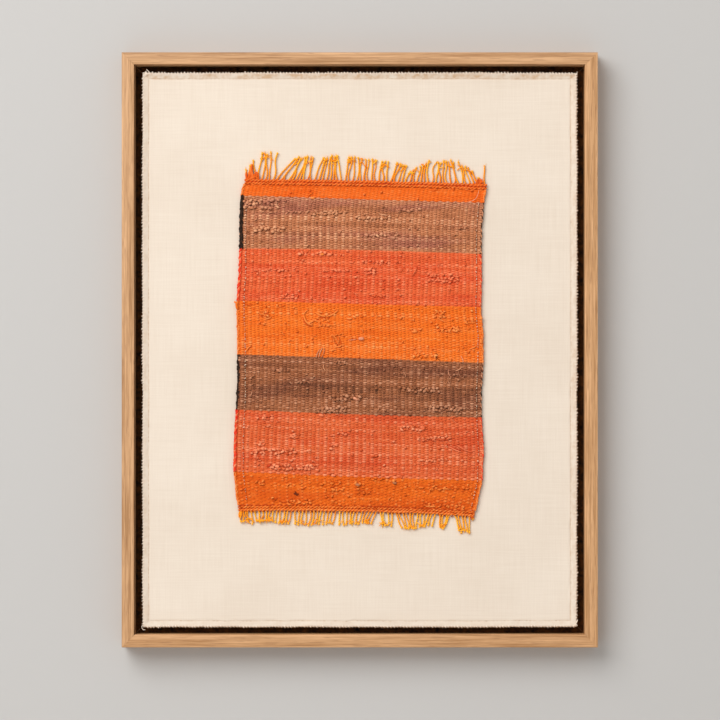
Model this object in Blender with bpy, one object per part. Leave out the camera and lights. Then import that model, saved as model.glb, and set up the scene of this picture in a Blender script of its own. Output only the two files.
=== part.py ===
"""Framed kilim fragment: a striped flat weave with fringed ends, laid on a hemmed cream cloth
that floats inside an oak frame. It hangs on a wall, with its front towards -Y and +Z up.
"""

import math

import bmesh
import bpy
from mathutils import Matrix, Vector

# Millimetres are easier to read here, so every size below is in them.
MM = 0.001

# Depths run from the wall, at 0, towards the viewer, who looks along +Y.
FRAME_W = 400.0
FRAME_H = 500.0
FRAME_DEPTH = 25.0
RAIL_FACE = 10.8
FOOT_WIDTH = 16.0
FOOT_DEPTH = 5.0
ARRIS = 0.6
SEAT_GAP = 0.3

CLOTH_W = 366.0
CLOTH_H = 467.0
CLOTH_DEPTH = 1.5
CLOTH_WAVER = 0.45
WAVER_ALONG_SIDES = 31.0
WAVER_ALONG_ENDS = 27.0
HEM_WIDTH = 5.5
HEM_RISE = 0.6
HEM_STEP = 0.8
CLOTH_ACROSS = 10
CLOTH_DOWN = 14

BOARD_DEPTH = 10.0
BOARD_INSET = 1.5

BOARD_BACK = FOOT_DEPTH + SEAT_GAP
CLOTH_BACK = BOARD_BACK + BOARD_DEPTH + SEAT_GAP
CLOTH_FRONT = CLOTH_BACK + CLOTH_DEPTH

WARPS = 64
KILIM_BACK = CLOTH_FRONT + SEAT_GAP
KILIM_DEPTH = 2.4
RIB_TALL = 0.4
RIB_LOW = 0.22
SELVEDGE_RIB = 0.6

HEADER_HEIGHT = 3.4
HEADER_DEPTH = 2.2
STRAND_WIDTH = 1.3
STRAND_THICK = 1.1
STRAND_NEAR = 1.1
STRAND_FAR = 2.5
MOST_WIDENING = 1.45

# Corners nearer than this are one corner, and a face this near the front is the rail's face.
TOUCHING = 0.01

# The middle of the top rail's back is the origin, where the frame meets the wall.
RAIL_BACK = RAIL_FACE + FOOT_WIDTH
CENTRE_Z = -(FRAME_H - RAIL_BACK) / 2

# Lines across the kilim, from the top one down, measured from the middle of the frame.
# Columns: name, left edge, right edge, height at the left, in the middle and at the right.
WEFT_LINES = (
    ("top_header", -96.8, 107.0, 143.7, 142.3, 139.4),
    ("first_orange_ends", -100.3, 104.6, 130.1, 126.8, 123.8),
    ("first_brown_middle", -101.4, 102.5, 107.7, 105.4, 102.2),
    ("first_brown_ends", -101.4, 102.4, 85.3, 83.9, 80.6),
    ("first_red_middle", -101.9, 102.7, 63.4, 61.3, 58.3),
    ("first_red_ends", -103.7, 101.9, 41.5, 38.6, 36.0),
    ("second_orange_middle", -103.3, 103.8, 18.8, 15.7, 12.5),
    ("second_orange_ends", -103.1, 103.9, -3.9, -7.2, -11.0),
    ("second_brown_middle", -103.1, 102.4, -27.0, -30.8, -33.9),
    ("second_brown_ends", -104.2, 102.6, -50.1, -54.3, -56.8),
    ("second_red_middle", -105.9, 104.3, -76.1, -80.6, -83.3),
    ("second_red_ends", -106.2, 103.2, -102.1, -106.8, -109.7),
    ("bottom_header", -102.4, 96.5, -135.3, -135.7, -139.9),
)

# Bunches of warp ends, from left to right. Columns: how many strands, where the first and the
# last tip lie across the frame, and how far these two tips stand out from the header.
TOP_BUNCHES = (
    (3, -95.5, -89.5, 8.0, 15.0),
    (4, -82.9, -74.9, 22.7, 22.0),
    (1, -69.0, -69.0, 21.0, 21.0),
    (10, -54.5, -39.6, 17.0, 19.8),
    (8, -30.5, -18.0, 18.0, 20.0),
    (3, -9.5, -4.6, 19.0, 19.3),
    (6, -1.0, 13.3, 18.5, 18.0),
    (3, 18.6, 23.6, 16.6, 17.2),
    (4, 31.0, 39.7, 15.6, 13.4),
    (7, 42.5, 58.6, 8.5, 17.6),
    (8, 64.8, 79.0, 16.5, 18.4),
    (5, 83.0, 94.5, 16.8, 11.0),
    (1, 99.6, 99.6, 5.2, 5.2),
    (1, 105.2, 105.2, 16.8, 16.8),
)
BOTTOM_BUNCHES = (
    (1, -101.0, -101.0, 9.0, 9.0),
    (3, -97.6, -90.6, 9.5, 11.0),
    (6, -86.5, -74.0, 9.4, 9.4),
    (5, -70.6, -60.0, 10.4, 11.2),
    (5, -54.6, -43.0, 11.0, 12.2),
    (7, -39.8, -22.6, 11.6, 10.4),
    (7, -17.0, -1.0, 11.4, 10.6),
    (4, 2.2, 9.4, 10.0, 9.4),
    (4, 18.6, 27.0, 12.4, 11.2),
    (6, 35.4, 46.0, 12.4, 13.0),
    (6, 47.6, 60.6, 12.6, 9.0),
    (4, 67.4, 71.6, 11.6, 10.4),
    (5, 83.4, 92.6, 13.2, 13.8),
    (1, 95.2, 95.2, 3.0, 3.0),
)

# How a strand is drawn out of the header: how far along it is, and how thick it is there.
STRAND_STEPS = ((0.42, 0.92), (0.86, 0.82), (1.0, 1.2))
LEAN_POWER = 1.15
DEPTH_REACHED_AT = 0.42


def place(across, depth, up):
    """Turn millimetres from the frame's middle and the wall into a point of the object."""
    return Vector((across, -depth, up + CENTRE_Z)) * MM


def linear(red, green, blue):
    """Turn a screen colour of 0 to 255 into the linear colour that a shader takes."""
    def channel(value):
        value /= 255
        return value / 12.92 if value <= 0.04045 else ((value + 0.055) / 1.055) ** 2.4
    return (channel(red), channel(green), channel(blue), 1.0)


def make_material(name, colour, roughness):
    material = bpy.data.materials.new(name)
    material.use_nodes = True
    shader = material.node_tree.nodes["Principled BSDF"]
    shader.inputs["Base Color"].default_value = colour
    shader.inputs["Roughness"].default_value = roughness
    shader.inputs["Metallic"].default_value = 0.0
    return material


def add_object(name, bm, collection, material):
    """Turn a finished bmesh into a named object of the collection."""
    bmesh.ops.recalc_face_normals(bm, faces=bm.faces)
    mesh = bpy.data.meshes.new(name)
    bm.to_mesh(mesh)
    bm.free()
    mesh.materials.append(material)
    obj = bpy.data.objects.new(name, mesh)
    collection.objects.link(obj)
    return obj


def through_three(first, middle, last, along):
    """A gentle curve through three heights, with along from 0 at the first to 1 at the last."""
    bow = 4 * (middle - (first + last) / 2)
    return first + (last - first) * along + bow * along * (1 - along)


def rail_section():
    """The L-shaped section of a rail as a bmesh: local X runs inwards and local Y into the depth."""
    outline = (
        (0.0, 0.0),
        (RAIL_BACK, 0.0),
        (RAIL_BACK, FOOT_DEPTH),
        (RAIL_FACE, FOOT_DEPTH),
        (RAIL_FACE, FRAME_DEPTH),
        (0.0, FRAME_DEPTH),
    )
    curve = bpy.data.curves.new("rail_outline", "CURVE")
    curve.dimensions = "2D"
    curve.fill_mode = "BOTH"
    spline = curve.splines.new("POLY")
    spline.points.add(len(outline) - 1)
    for point, (inwards, depth) in zip(spline.points, outline):
        point.co = (inwards * MM, -depth * MM, 0.0, 1.0)
    spline.use_cyclic_u = True
    curve.extrude = FRAME_H / 2 * MM
    holder = bpy.data.objects.new("rail_outline", curve)
    bpy.context.scene.collection.objects.link(holder)
    depsgraph = bpy.context.evaluated_depsgraph_get()
    mesh = bpy.data.meshes.new_from_object(holder.evaluated_get(depsgraph))
    bm = bmesh.new()
    bm.from_mesh(mesh)
    bpy.data.objects.remove(holder)
    bpy.data.curves.remove(curve)
    bpy.data.meshes.remove(mesh)
    bmesh.ops.remove_doubles(bm, verts=bm.verts, dist=TOUCHING * MM)
    return bm


def ease_front_arrises(bm):
    """Take a small chamfer off the two long edges of the rail's face."""
    front = -(FRAME_DEPTH - TOUCHING) * MM
    long_edges = [
        edge for edge in bm.edges
        if all(vert.co.y < front for vert in edge.verts)
        and abs(edge.verts[0].co.z - edge.verts[1].co.z) > FRAME_W / 2 * MM
    ]
    bmesh.ops.bevel(bm, geom=long_edges, offset=ARRIS * MM, segments=1, affect="EDGES")


def cut_mitres(bm, half_length, half_across):
    """Cut both ends at 45 degrees, through the frame's corners, and close the cuts."""
    for side in (-1, 1):
        outwards = Vector((side, 0, -1)).normalized()
        corner = Vector((side * half_length, 0, half_across)) * MM
        cut = bmesh.ops.bisect_plane(
            bm,
            geom=bm.verts[:] + bm.edges[:] + bm.faces[:],
            dist=TOUCHING * MM / 100,
            plane_co=corner - outwards * SEAT_GAP / 2 * MM,
            plane_no=outwards,
            clear_outer=True,
        )
        rim = [item for item in cut["geom_cut"] if isinstance(item, bmesh.types.BMEdge)]
        bmesh.ops.edgenet_fill(bm, edges=rim)


def build_rail(name, length, across, turn, collection, material):
    """A mitred rail, made as the top one and turned round the frame's middle to its side."""
    bm = rail_section()
    ease_front_arrises(bm)
    lie_along_x = Matrix.Rotation(math.radians(90), 4, "Y")
    to_top = Matrix.Translation(Vector((0, 0, across / 2)) * MM)
    bmesh.ops.transform(bm, matrix=to_top @ lie_along_x, verts=bm.verts)
    cut_mitres(bm, length / 2, across / 2)
    rail = add_object(name, bm, collection, material)
    rail.location = place(0, 0, 0)
    rail.rotation_euler = (0, math.radians(turn), 0)
    return rail


def build_board(collection, material):
    """The dark board on the rails' feet, a little smaller than the cloth it carries."""
    size = Vector((CLOTH_W - 2 * BOARD_INSET, BOARD_DEPTH, CLOTH_H - 2 * BOARD_INSET)) * MM
    bm = bmesh.new()
    bmesh.ops.create_cube(bm, size=1.0)
    bmesh.ops.scale(bm, vec=size, verts=bm.verts)
    board = add_object("mount_board", bm, collection, material)
    board.location = place(0, BOARD_BACK + BOARD_DEPTH / 2, 0)
    return board


def sheet_mesh(across, down, shape):
    """A closed sheet made from a flat grid, which is doubled and then given its form.

    shape(column, row, front) returns the place of a corner of the grid. The second value
    returned finds a corner of the mesh again.
    """
    bm = bmesh.new()
    bmesh.ops.create_grid(bm, x_segments=across, y_segments=down, size=1.0)
    back = list(bm.verts)
    extruded = bmesh.ops.extrude_face_region(bm, geom=list(bm.faces), use_keep_orig=True)
    front = [item for item in extruded["geom"] if isinstance(item, bmesh.types.BMVert)]
    corners = {}
    for verts, is_front in ((back, False), (front, True)):
        for vert in verts:
            column = round((vert.co.x + 1) / 2 * across)
            row = round((1 - vert.co.y) / 2 * down)
            corners[column, row, is_front] = vert
    for key, vert in corners.items():
        vert.co = shape(*key)
    return bm, corners


def hemmed_lines(size, inner_cells):
    """Places of the cloth's lines on one axis, each with how far the hem raises it."""
    half = size / 2
    flat_from = half - HEM_WIDTH - HEM_STEP
    lines = [(-half, HEM_RISE), (-half + HEM_WIDTH, HEM_RISE)]
    for cell in range(inner_cells + 1):
        lines.append((-flat_from + 2 * flat_from * cell / inner_cells, 0.0))
    lines += [(half - HEM_WIDTH, HEM_RISE), (half, HEM_RISE)]
    return lines


def build_cloth(collection, material):
    """The cream cloth, with its hem as a raised band and its edges a little uneven."""
    columns = hemmed_lines(CLOTH_W, CLOTH_ACROSS)
    rows = hemmed_lines(CLOTH_H, CLOTH_DOWN)

    def shape(column, row, front):
        x, rise_x = columns[column]
        z, rise_z = rows[len(rows) - 1 - row]
        depth = CLOTH_BACK
        if front:
            depth = CLOTH_FRONT + max(rise_x, rise_z)
        waver_x = CLOTH_WAVER * math.sin(z / WAVER_ALONG_SIDES) * (2 * x / CLOTH_W) ** 3
        waver_z = CLOTH_WAVER * math.sin(x / WAVER_ALONG_ENDS) * (2 * z / CLOTH_H) ** 3
        return place(x + waver_x, depth, z + waver_z)

    bm, _ = sheet_mesh(len(columns) - 1, len(rows) - 1, shape)
    return add_object("mount_cloth", bm, collection, material)


def line_point(line, along):
    """A point on a weft line: across and up, with along from 0 at the left to 1 at the right."""
    _, left, right, up_left, up_middle, up_right = line
    return left + (right - left) * along, through_three(up_left, up_middle, up_right, along)


def rib_height(column):
    """Each warp lifts the wefts into a rib: tall and low in turn, and highest at the selvedge."""
    if column % 2 == 0:
        return 0.0
    warp = column // 2
    if warp in (0, WARPS - 1):
        return SELVEDGE_RIB
    return RIB_TALL if warp % 2 else RIB_LOW


def build_kilim(collection, material):
    """The flat weave: a row of points on each weft line, and a rib for each warp."""
    def shape(column, row, front):
        x, z = line_point(WEFT_LINES[row], column / (2 * WARPS))
        if row == 0:
            z -= HEADER_HEIGHT + SEAT_GAP
        if row == len(WEFT_LINES) - 1:
            z += HEADER_HEIGHT + SEAT_GAP
        depth = KILIM_BACK
        if front:
            depth += KILIM_DEPTH + rib_height(column)
        return place(x, depth, z)

    bm, _ = sheet_mesh(2 * WARPS, len(WEFT_LINES) - 1, shape)
    return add_object("kilim", bm, collection, material)


def spread_tips(bunches):
    """Across and outward places of the strands' tips, from the table of bunches."""
    tips = []
    for count, first_across, last_across, first_out, last_out in bunches:
        for number in range(count):
            along = number / max(count - 1, 1)
            across = first_across + (last_across - first_across) * along
            tips.append((across, first_out + (last_out - first_out) * along))
    return tips


def draw_strand(bm, face, root, tip, upwards, strand_depth):
    """Draw one four-sided strand out of its root face, step by step, to its tip."""
    root_across, root_up, root_depth = root
    tip_across, tip_out = tip
    lean = math.hypot(tip_across - root_across, tip_out) / tip_out
    width = STRAND_WIDTH * min(lean, MOST_WIDENING)
    for along, thickness in STRAND_STEPS:
        face = bmesh.ops.extrude_discrete_faces(bm, faces=[face])["faces"][0]
        across = root_across + (tip_across - root_across) * along ** LEAN_POWER
        depth_share = min(along / DEPTH_REACHED_AT, 1.0)
        depth = root_depth + (strand_depth - root_depth) * depth_share
        centre = place(across, depth, root_up + upwards * tip_out * along)
        old_centre = face.calc_center_median()
        for vert in face.verts:
            side = math.copysign(width / 2 * thickness, vert.co.x - old_centre.x)
            near = math.copysign(STRAND_THICK / 2 * thickness, vert.co.y - old_centre.y)
            vert.co = centre + Vector((side, near, 0)) * MM


def build_fringe(name, line, upwards, bunches, collection, material):
    """A twined header and its warp ends. upwards is 1 at the top edge and -1 at the bottom."""
    tips = spread_tips(bunches)
    left, right = line[1], line[2]
    pitch = (right - left) / WARPS
    edges = [left]
    for warp in range(WARPS):
        middle = left + pitch * (warp + 0.5)
        edges += [middle - STRAND_WIDTH / 2, middle + STRAND_WIDTH / 2]
    edges.append(right)
    outer_row = 0 if upwards > 0 else 1

    def shape(column, row, front):
        along = (edges[column] - left) / (right - left)
        x, z = line_point(line, along)
        if row != outer_row:
            z -= upwards * HEADER_HEIGHT
        depth = KILIM_BACK + (HEADER_DEPTH if front else 0.0)
        return place(x, depth, z)

    bm, corners = sheet_mesh(len(edges) - 1, 1, shape)
    for warp in range(WARPS):
        first = 2 * warp + 1
        rim = (
            corners[first, outer_row, False],
            corners[first, outer_row, True],
            corners[first + 1, outer_row, True],
            corners[first + 1, outer_row, False],
        )
        face = bm.faces.get(rim)
        x, z = line_point(line, (warp + 0.5) / WARPS)
        root = (x, z, KILIM_BACK + HEADER_DEPTH / 2)
        strand_depth = CLOTH_FRONT + (STRAND_FAR if warp % 2 else STRAND_NEAR)
        draw_strand(bm, face, root, tips[warp], upwards, strand_depth)
    return add_object(name, bm, collection, material)


def main():
    for obj in list(bpy.data.objects):
        bpy.data.objects.remove(obj, do_unlink=True)
    collection = bpy.data.collections.new("framed_kilim_fragment")
    bpy.context.scene.collection.children.link(collection)

    oak = make_material("oak", linear(210, 163, 119), 0.6)
    board = make_material("dark_board", linear(40, 28, 18), 0.85)
    cream = make_material("cream_cloth", linear(243, 226, 207), 0.9)
    wool = make_material("striped_wool", linear(226, 104, 50), 0.9)
    warp_yarn = make_material("warp_yarn", linear(245, 150, 45), 0.85)

    for name, length, across, turn in (
        ("rail_top", FRAME_W, FRAME_H, 0),
        ("rail_right", FRAME_H, FRAME_W, 90),
        ("rail_bottom", FRAME_W, FRAME_H, 180),
        ("rail_left", FRAME_H, FRAME_W, 270),
    ):
        build_rail(name, length, across, turn, collection, oak)
    build_board(collection, board)
    build_cloth(collection, cream)
    build_kilim(collection, wool)
    build_fringe("fringe_top", WEFT_LINES[0], 1, TOP_BUNCHES, collection, warp_yarn)
    build_fringe("fringe_bottom", WEFT_LINES[-1], -1, BOTTOM_BUNCHES, collection, warp_yarn)


main()
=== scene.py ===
# %% [markdown]
# # A framed kilim fragment
# A small striped flat weave, fringed at both ends, is stitched to a hemmed cream cloth that
# floats inside an oak frame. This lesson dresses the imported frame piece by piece: the yarns of
# the weave are real tubes, the rails are shaped as a joiner would, and every finish is
# procedural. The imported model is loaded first, because every piece takes its place from it.

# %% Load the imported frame
import math

import bpy
import numpy as np
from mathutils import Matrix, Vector


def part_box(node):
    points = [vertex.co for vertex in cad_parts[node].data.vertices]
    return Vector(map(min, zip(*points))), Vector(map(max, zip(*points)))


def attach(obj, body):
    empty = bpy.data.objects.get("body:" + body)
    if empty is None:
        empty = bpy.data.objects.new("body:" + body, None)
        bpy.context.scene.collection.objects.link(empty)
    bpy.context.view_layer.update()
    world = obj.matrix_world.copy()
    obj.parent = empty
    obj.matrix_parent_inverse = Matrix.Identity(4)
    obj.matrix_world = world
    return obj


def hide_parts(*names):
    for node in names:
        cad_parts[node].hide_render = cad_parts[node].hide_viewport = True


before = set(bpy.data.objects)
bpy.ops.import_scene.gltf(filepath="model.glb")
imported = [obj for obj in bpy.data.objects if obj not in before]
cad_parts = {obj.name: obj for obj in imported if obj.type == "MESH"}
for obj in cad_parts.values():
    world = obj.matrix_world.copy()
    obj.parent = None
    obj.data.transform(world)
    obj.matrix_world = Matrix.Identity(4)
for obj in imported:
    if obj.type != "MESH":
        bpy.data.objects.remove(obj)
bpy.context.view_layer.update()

MM = 0.001

# %% [markdown]
# ## The camera
# The frame is seen square on, from three metres away through a long lens, so that its rails
# look parallel. A short lens up close would show the rails' inner sides. The focal length is
# worked out so that one pixel of a 720-pixel picture is 0.84 mm at the frame's face, which
# puts the 400 mm wide frame on 476 pixels.

# %% Camera
PICTURE_PIXELS = 720
PIXEL = 0.84 * MM
CAMERA_DISTANCE = 3.0
CLIP_END = 20
# Turned a quarter about X, a camera looks along Y and a plane stands upright.
UPRIGHT = (math.radians(90), 0, 0)
FRAME_LOW, FRAME_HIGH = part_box("rail_left")[0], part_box("rail_right")[1]
FRAME_FRONT = FRAME_LOW.y
MIDDLE = Vector((0, 0, (FRAME_LOW.z + FRAME_HIGH.z) / 2))
FRAME_OFF_CENTRE = Vector((0.2, 0, -8.5)) * MM
PICTURE_MIDDLE = MIDDLE + FRAME_OFF_CENTRE

camera_data = bpy.data.cameras.new("camera")
picture_width = PICTURE_PIXELS * PIXEL
camera_data.lens = camera_data.sensor_width * CAMERA_DISTANCE / picture_width
camera_data.clip_end = CLIP_END
camera = bpy.data.objects.new("camera", camera_data)
camera.location = PICTURE_MIDDLE + Vector((0, FRAME_FRONT - CAMERA_DISTANCE, 0))
camera.rotation_euler = UPRIGHT
bpy.context.scene.collection.objects.link(camera)
bpy.context.scene.camera = camera
print("lens", round(camera_data.lens, 1), "mm")

# %% [markdown]
# ## The studio
# One large soft light stands to the upper left. The shadow that the 25 mm deep frame casts to
# the right and below fades over about 35 mm, so the light is nearly as wide as it is far: a
# small lamp would draw a hard edge. The wall behind is pale grey. It is one-sided: from behind
# it lets sight and light through, so that the back of the frame can be looked at too.

# %% Stage helpers
# Standard shows the colours as they are set, without a film's curve.
bpy.context.scene.view_settings.view_transform = "Standard"
WALL_GAP = 0.5 * MM
FLOOR_DROP = 1.0
STAGE_SIZE = 8
WALL_GREY = (0.508, 0.496, 0.48, 1)
FLOOR_GREY = (0.62, 0.6, 0.58, 1)


def linear(red, green, blue):
    """The linear colour of a screen colour given as 0 to 255."""
    channels = [value / 255 for value in (red, green, blue)]
    return tuple(c / 12.92 if c <= 0.04045 else ((c + 0.055) / 1.055) ** 2.4 for c in channels) + (1,)


def shader_of(material):
    return material.node_tree.nodes["Principled BSDF"]


def new_material(name, roughness, sheen=0.0):
    material = bpy.data.materials.new(name)
    material.use_nodes = True
    shader_of(material).inputs["Roughness"].default_value = roughness
    shader_of(material).inputs["Sheen Weight"].default_value = sheen
    return material


def stage_plane(name, location, rotation, material):
    bpy.ops.mesh.primitive_plane_add(size=STAGE_SIZE, location=location, rotation=rotation)
    plane = bpy.context.object
    plane.name = name
    plane.data.materials.append(material)
    return plane


print("view transform:", bpy.context.scene.view_settings.view_transform)

# %% Wall and floor
wall_paint = new_material("wall_paint", 0.9)
nodes = wall_paint.node_tree.nodes
links = wall_paint.node_tree.links
shader_of(wall_paint).inputs["Base Color"].default_value = WALL_GREY
see_through = nodes.new("ShaderNodeBsdfTransparent")
geometry = nodes.new("ShaderNodeNewGeometry")
light_path = nodes.new("ShaderNodeLightPath")
either = nodes.new("ShaderNodeMath")
either.operation = "MAXIMUM"
blend = nodes.new("ShaderNodeMixShader")
links.new(geometry.outputs["Backfacing"], either.inputs[0])
links.new(light_path.outputs["Is Shadow Ray"], either.inputs[1])
links.new(either.outputs[0], blend.inputs[0])
links.new(shader_of(wall_paint).outputs[0], blend.inputs[1])
links.new(see_through.outputs[0], blend.inputs[2])
links.new(blend.outputs[0], nodes["Material Output"].inputs["Surface"])
stage_plane("wall", (0, WALL_GAP, MIDDLE.z), UPRIGHT, wall_paint)

floor_paint = new_material("floor_paint", 0.8)
shader_of(floor_paint).inputs["Base Color"].default_value = FLOOR_GREY
stage_plane("floor", (0, 0, MIDDLE.z - FLOOR_DROP), (0, 0, 0), floor_paint)
print("the wall stands", WALL_GAP / MM, "mm behind the frame")

# %% Lights
KEY_WATTS = 106
BACK_WATTS = 60
FILL_COLOUR = (1.0, 0.99, 0.98, 1)
FILL_STRENGTH = 0.55


def soft_light(name, direction, distance, size, watts):
    """A square area light that shines at the middle of the frame."""
    light = bpy.data.lights.new(name, "AREA")
    light.size = size
    light.energy = watts
    lamp = bpy.data.objects.new(name, light)
    lamp.location = MIDDLE + Vector(direction).normalized() * distance
    lamp.rotation_euler = Vector(direction).to_track_quat("Z", "Y").to_euler()
    bpy.context.scene.collection.objects.link(lamp)
    return lamp


soft_light("key_light", (-0.62, -1.0, 0.72), distance=3.4, size=2.4, watts=KEY_WATTS)
soft_light("back_light", (0.5, 1.0, 0.5), distance=2.5, size=2.0, watts=BACK_WATTS)
world = bpy.data.worlds.new("studio")
world.use_nodes = True
background = world.node_tree.nodes["Background"]
background.inputs["Color"].default_value = FILL_COLOUR
background.inputs["Strength"].default_value = FILL_STRENGTH
bpy.context.scene.world = world
print("lights:", KEY_WATTS, "and", BACK_WATTS, "watts")

# %% [markdown]
# ## Helpers for modelling by hand
# Blender's operators act on whatever is selected, so each step starts with nothing selected
# and picks its faces or edges in code, by where they lie. A finished piece has its place in
# its mesh, and its object sits at the origin.


# %% Modelling helpers
def deselect_all():
    if bpy.context.object and bpy.context.object.mode != "OBJECT":
        bpy.ops.object.mode_set(mode="OBJECT")
    bpy.ops.object.select_all(action="DESELECT")


def make_active(obj):
    deselect_all()
    obj.select_set(True)
    bpy.context.view_layer.objects.active = obj


def edit_all(obj):
    """Open the object in edit mode with all of its mesh selected."""
    make_active(obj)
    bpy.ops.object.mode_set(mode="EDIT")
    bpy.ops.mesh.select_all(action="SELECT")


def select_faces(obj, test):
    """In edit mode, select only the faces whose centre and normal pass the test."""
    bpy.ops.mesh.select_mode(type="FACE")
    bpy.ops.mesh.select_all(action="DESELECT")
    bpy.ops.object.mode_set(mode="OBJECT")
    for face in obj.data.polygons:
        face.select = test(face.center, face.normal)
    bpy.ops.object.mode_set(mode="EDIT")


def select_edges(obj, test):
    """In edit mode, select only the edges whose two ends pass the test."""
    bpy.ops.mesh.select_mode(type="EDGE")
    bpy.ops.mesh.select_all(action="DESELECT")
    bpy.ops.object.mode_set(mode="OBJECT")
    verts = obj.data.vertices
    for edge in obj.data.edges:
        edge.select = test(verts[edge.vertices[0]].co, verts[edge.vertices[1]].co)
    bpy.ops.object.mode_set(mode="EDIT")


def settle(obj):
    """Put the object's place, turn and scale into its mesh."""
    make_active(obj)
    bpy.ops.object.transform_apply(location=True, rotation=True, scale=True)


def finish_piece(obj, slot, *replaced):
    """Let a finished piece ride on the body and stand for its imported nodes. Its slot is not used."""
    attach(obj, "root")
    if replaced:
        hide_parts(*replaced)
    print(obj.name, "has", sum(len(face.vertices) - 2 for face in obj.data.polygons), "triangles")


print("modelling helpers ready")

# %% [markdown]
# ## Shared effects as node groups
# Several finishes share an effect: the fibres of a yarn, the threads of a plain weave and the
# grain of oak. Each one is a node group with named inputs and outputs. A group gives out only
# colours, masks and heights, and the shader stays in the material.


# %% Group and number helpers
def new_group(name, inputs, outputs):
    """A shader node group with its sockets, as (name, kind, default)."""
    group = bpy.data.node_groups.new(name, "ShaderNodeTree")
    for socket_name, kind, default in inputs:
        socket = group.interface.new_socket(socket_name, in_out="INPUT", socket_type=kind)
        if default is not None:
            socket.default_value = default
    for socket_name, kind in outputs:
        group.interface.new_socket(socket_name, in_out="OUTPUT", socket_type=kind)
    return group, group.nodes.new("NodeGroupInput"), group.nodes.new("NodeGroupOutput")


def add_node(tree, kind, **values):
    """A node with its input values given by name, with _ for a space."""
    node = tree.nodes.new(kind)
    for key, value in values.items():
        node.inputs[key.replace("_", " ")].default_value = value
    return node


def math_node(tree, operation, first, second):
    """A Math node whose two values are sockets or plain numbers. Returns its output."""
    node = tree.nodes.new("ShaderNodeMath")
    node.operation = operation
    for number, value in enumerate((first, second)):
        if isinstance(value, (int, float)):
            node.inputs[number].default_value = value
        else:
            tree.links.new(value, node.inputs[number])
    return node.outputs[0]


def weighted(tree, *pairs):
    """The sum of several sockets, each given with its weight."""
    parts = [math_node(tree, "MULTIPLY", socket, weight) for socket, weight in pairs]
    total = parts[0]
    for part in parts[1:]:
        total = math_node(tree, "ADD", total, part)
    return total


def share_between(tree, value, low, high):
    """0 where the value is low or less, 1 where it is high or more."""
    node = add_node(tree, "ShaderNodeMapRange", From_Min=low, From_Max=high)
    tree.links.new(value, node.inputs["Value"])
    return node.outputs["Result"]


print("number helpers ready")


# %% Texture and colour helpers
def object_place(tree):
    """Places in metres on the object, which stay put from every side."""
    return tree.nodes.new("ShaderNodeTexCoord").outputs["Object"]


def mix_colours(tree, share, first, second):
    """Mix two colours, each a socket or a plain colour, by a share that is a socket."""
    node = tree.nodes.new("ShaderNodeMix")
    node.data_type = "RGBA"
    tree.links.new(share, node.inputs["Factor"])
    for socket, value in ((node.inputs[6], first), (node.inputs[7], second)):
        if isinstance(value, tuple):
            socket.default_value = value
        else:
            tree.links.new(value, socket)
    return node.outputs[2]


def stretched(tree, vector, scale):
    """The same place, stretched by scale along each axis."""
    node = tree.nodes.new("ShaderNodeVectorMath")
    node.operation = "MULTIPLY"
    tree.links.new(vector, node.inputs[0])
    node.inputs[1].default_value = scale
    return node.outputs[0]


def noise(tree, vector, scale, detail=2.0, roughness=0.5):
    """Noise read at the vector. A scale of three numbers stretches it along each axis."""
    if isinstance(scale, tuple):
        vector, scale = stretched(tree, vector, scale), 1.0
    node = add_node(tree, "ShaderNodeTexNoise", Scale=scale, Detail=detail, Roughness=roughness)
    tree.links.new(vector, node.inputs["Vector"])
    return node.outputs["Fac"]


def bump(tree, height, distance, strength=0.6):
    node = add_node(tree, "ShaderNodeBump", Strength=strength, Distance=distance)
    tree.links.new(height, node.inputs["Height"])
    return node.outputs["Normal"]


def dress(material, colour, normal):
    """Give the material its changing colour and relief."""
    material.node_tree.links.new(colour, shader_of(material).inputs["Base Color"])
    material.node_tree.links.new(normal, shader_of(material).inputs["Normal"])
    return material


print("texture helpers ready")

# %% [markdown]
# ## Spun wool
# Dyed handspun yarn is never one colour: the dye takes unevenly, some fibres catch the light
# and some lie in shade. A picture of wool would show no yarn's own turns. So one group reads
# the tone that each yarn carries, adds blotches and fibres, and picks a shade between three.

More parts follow.
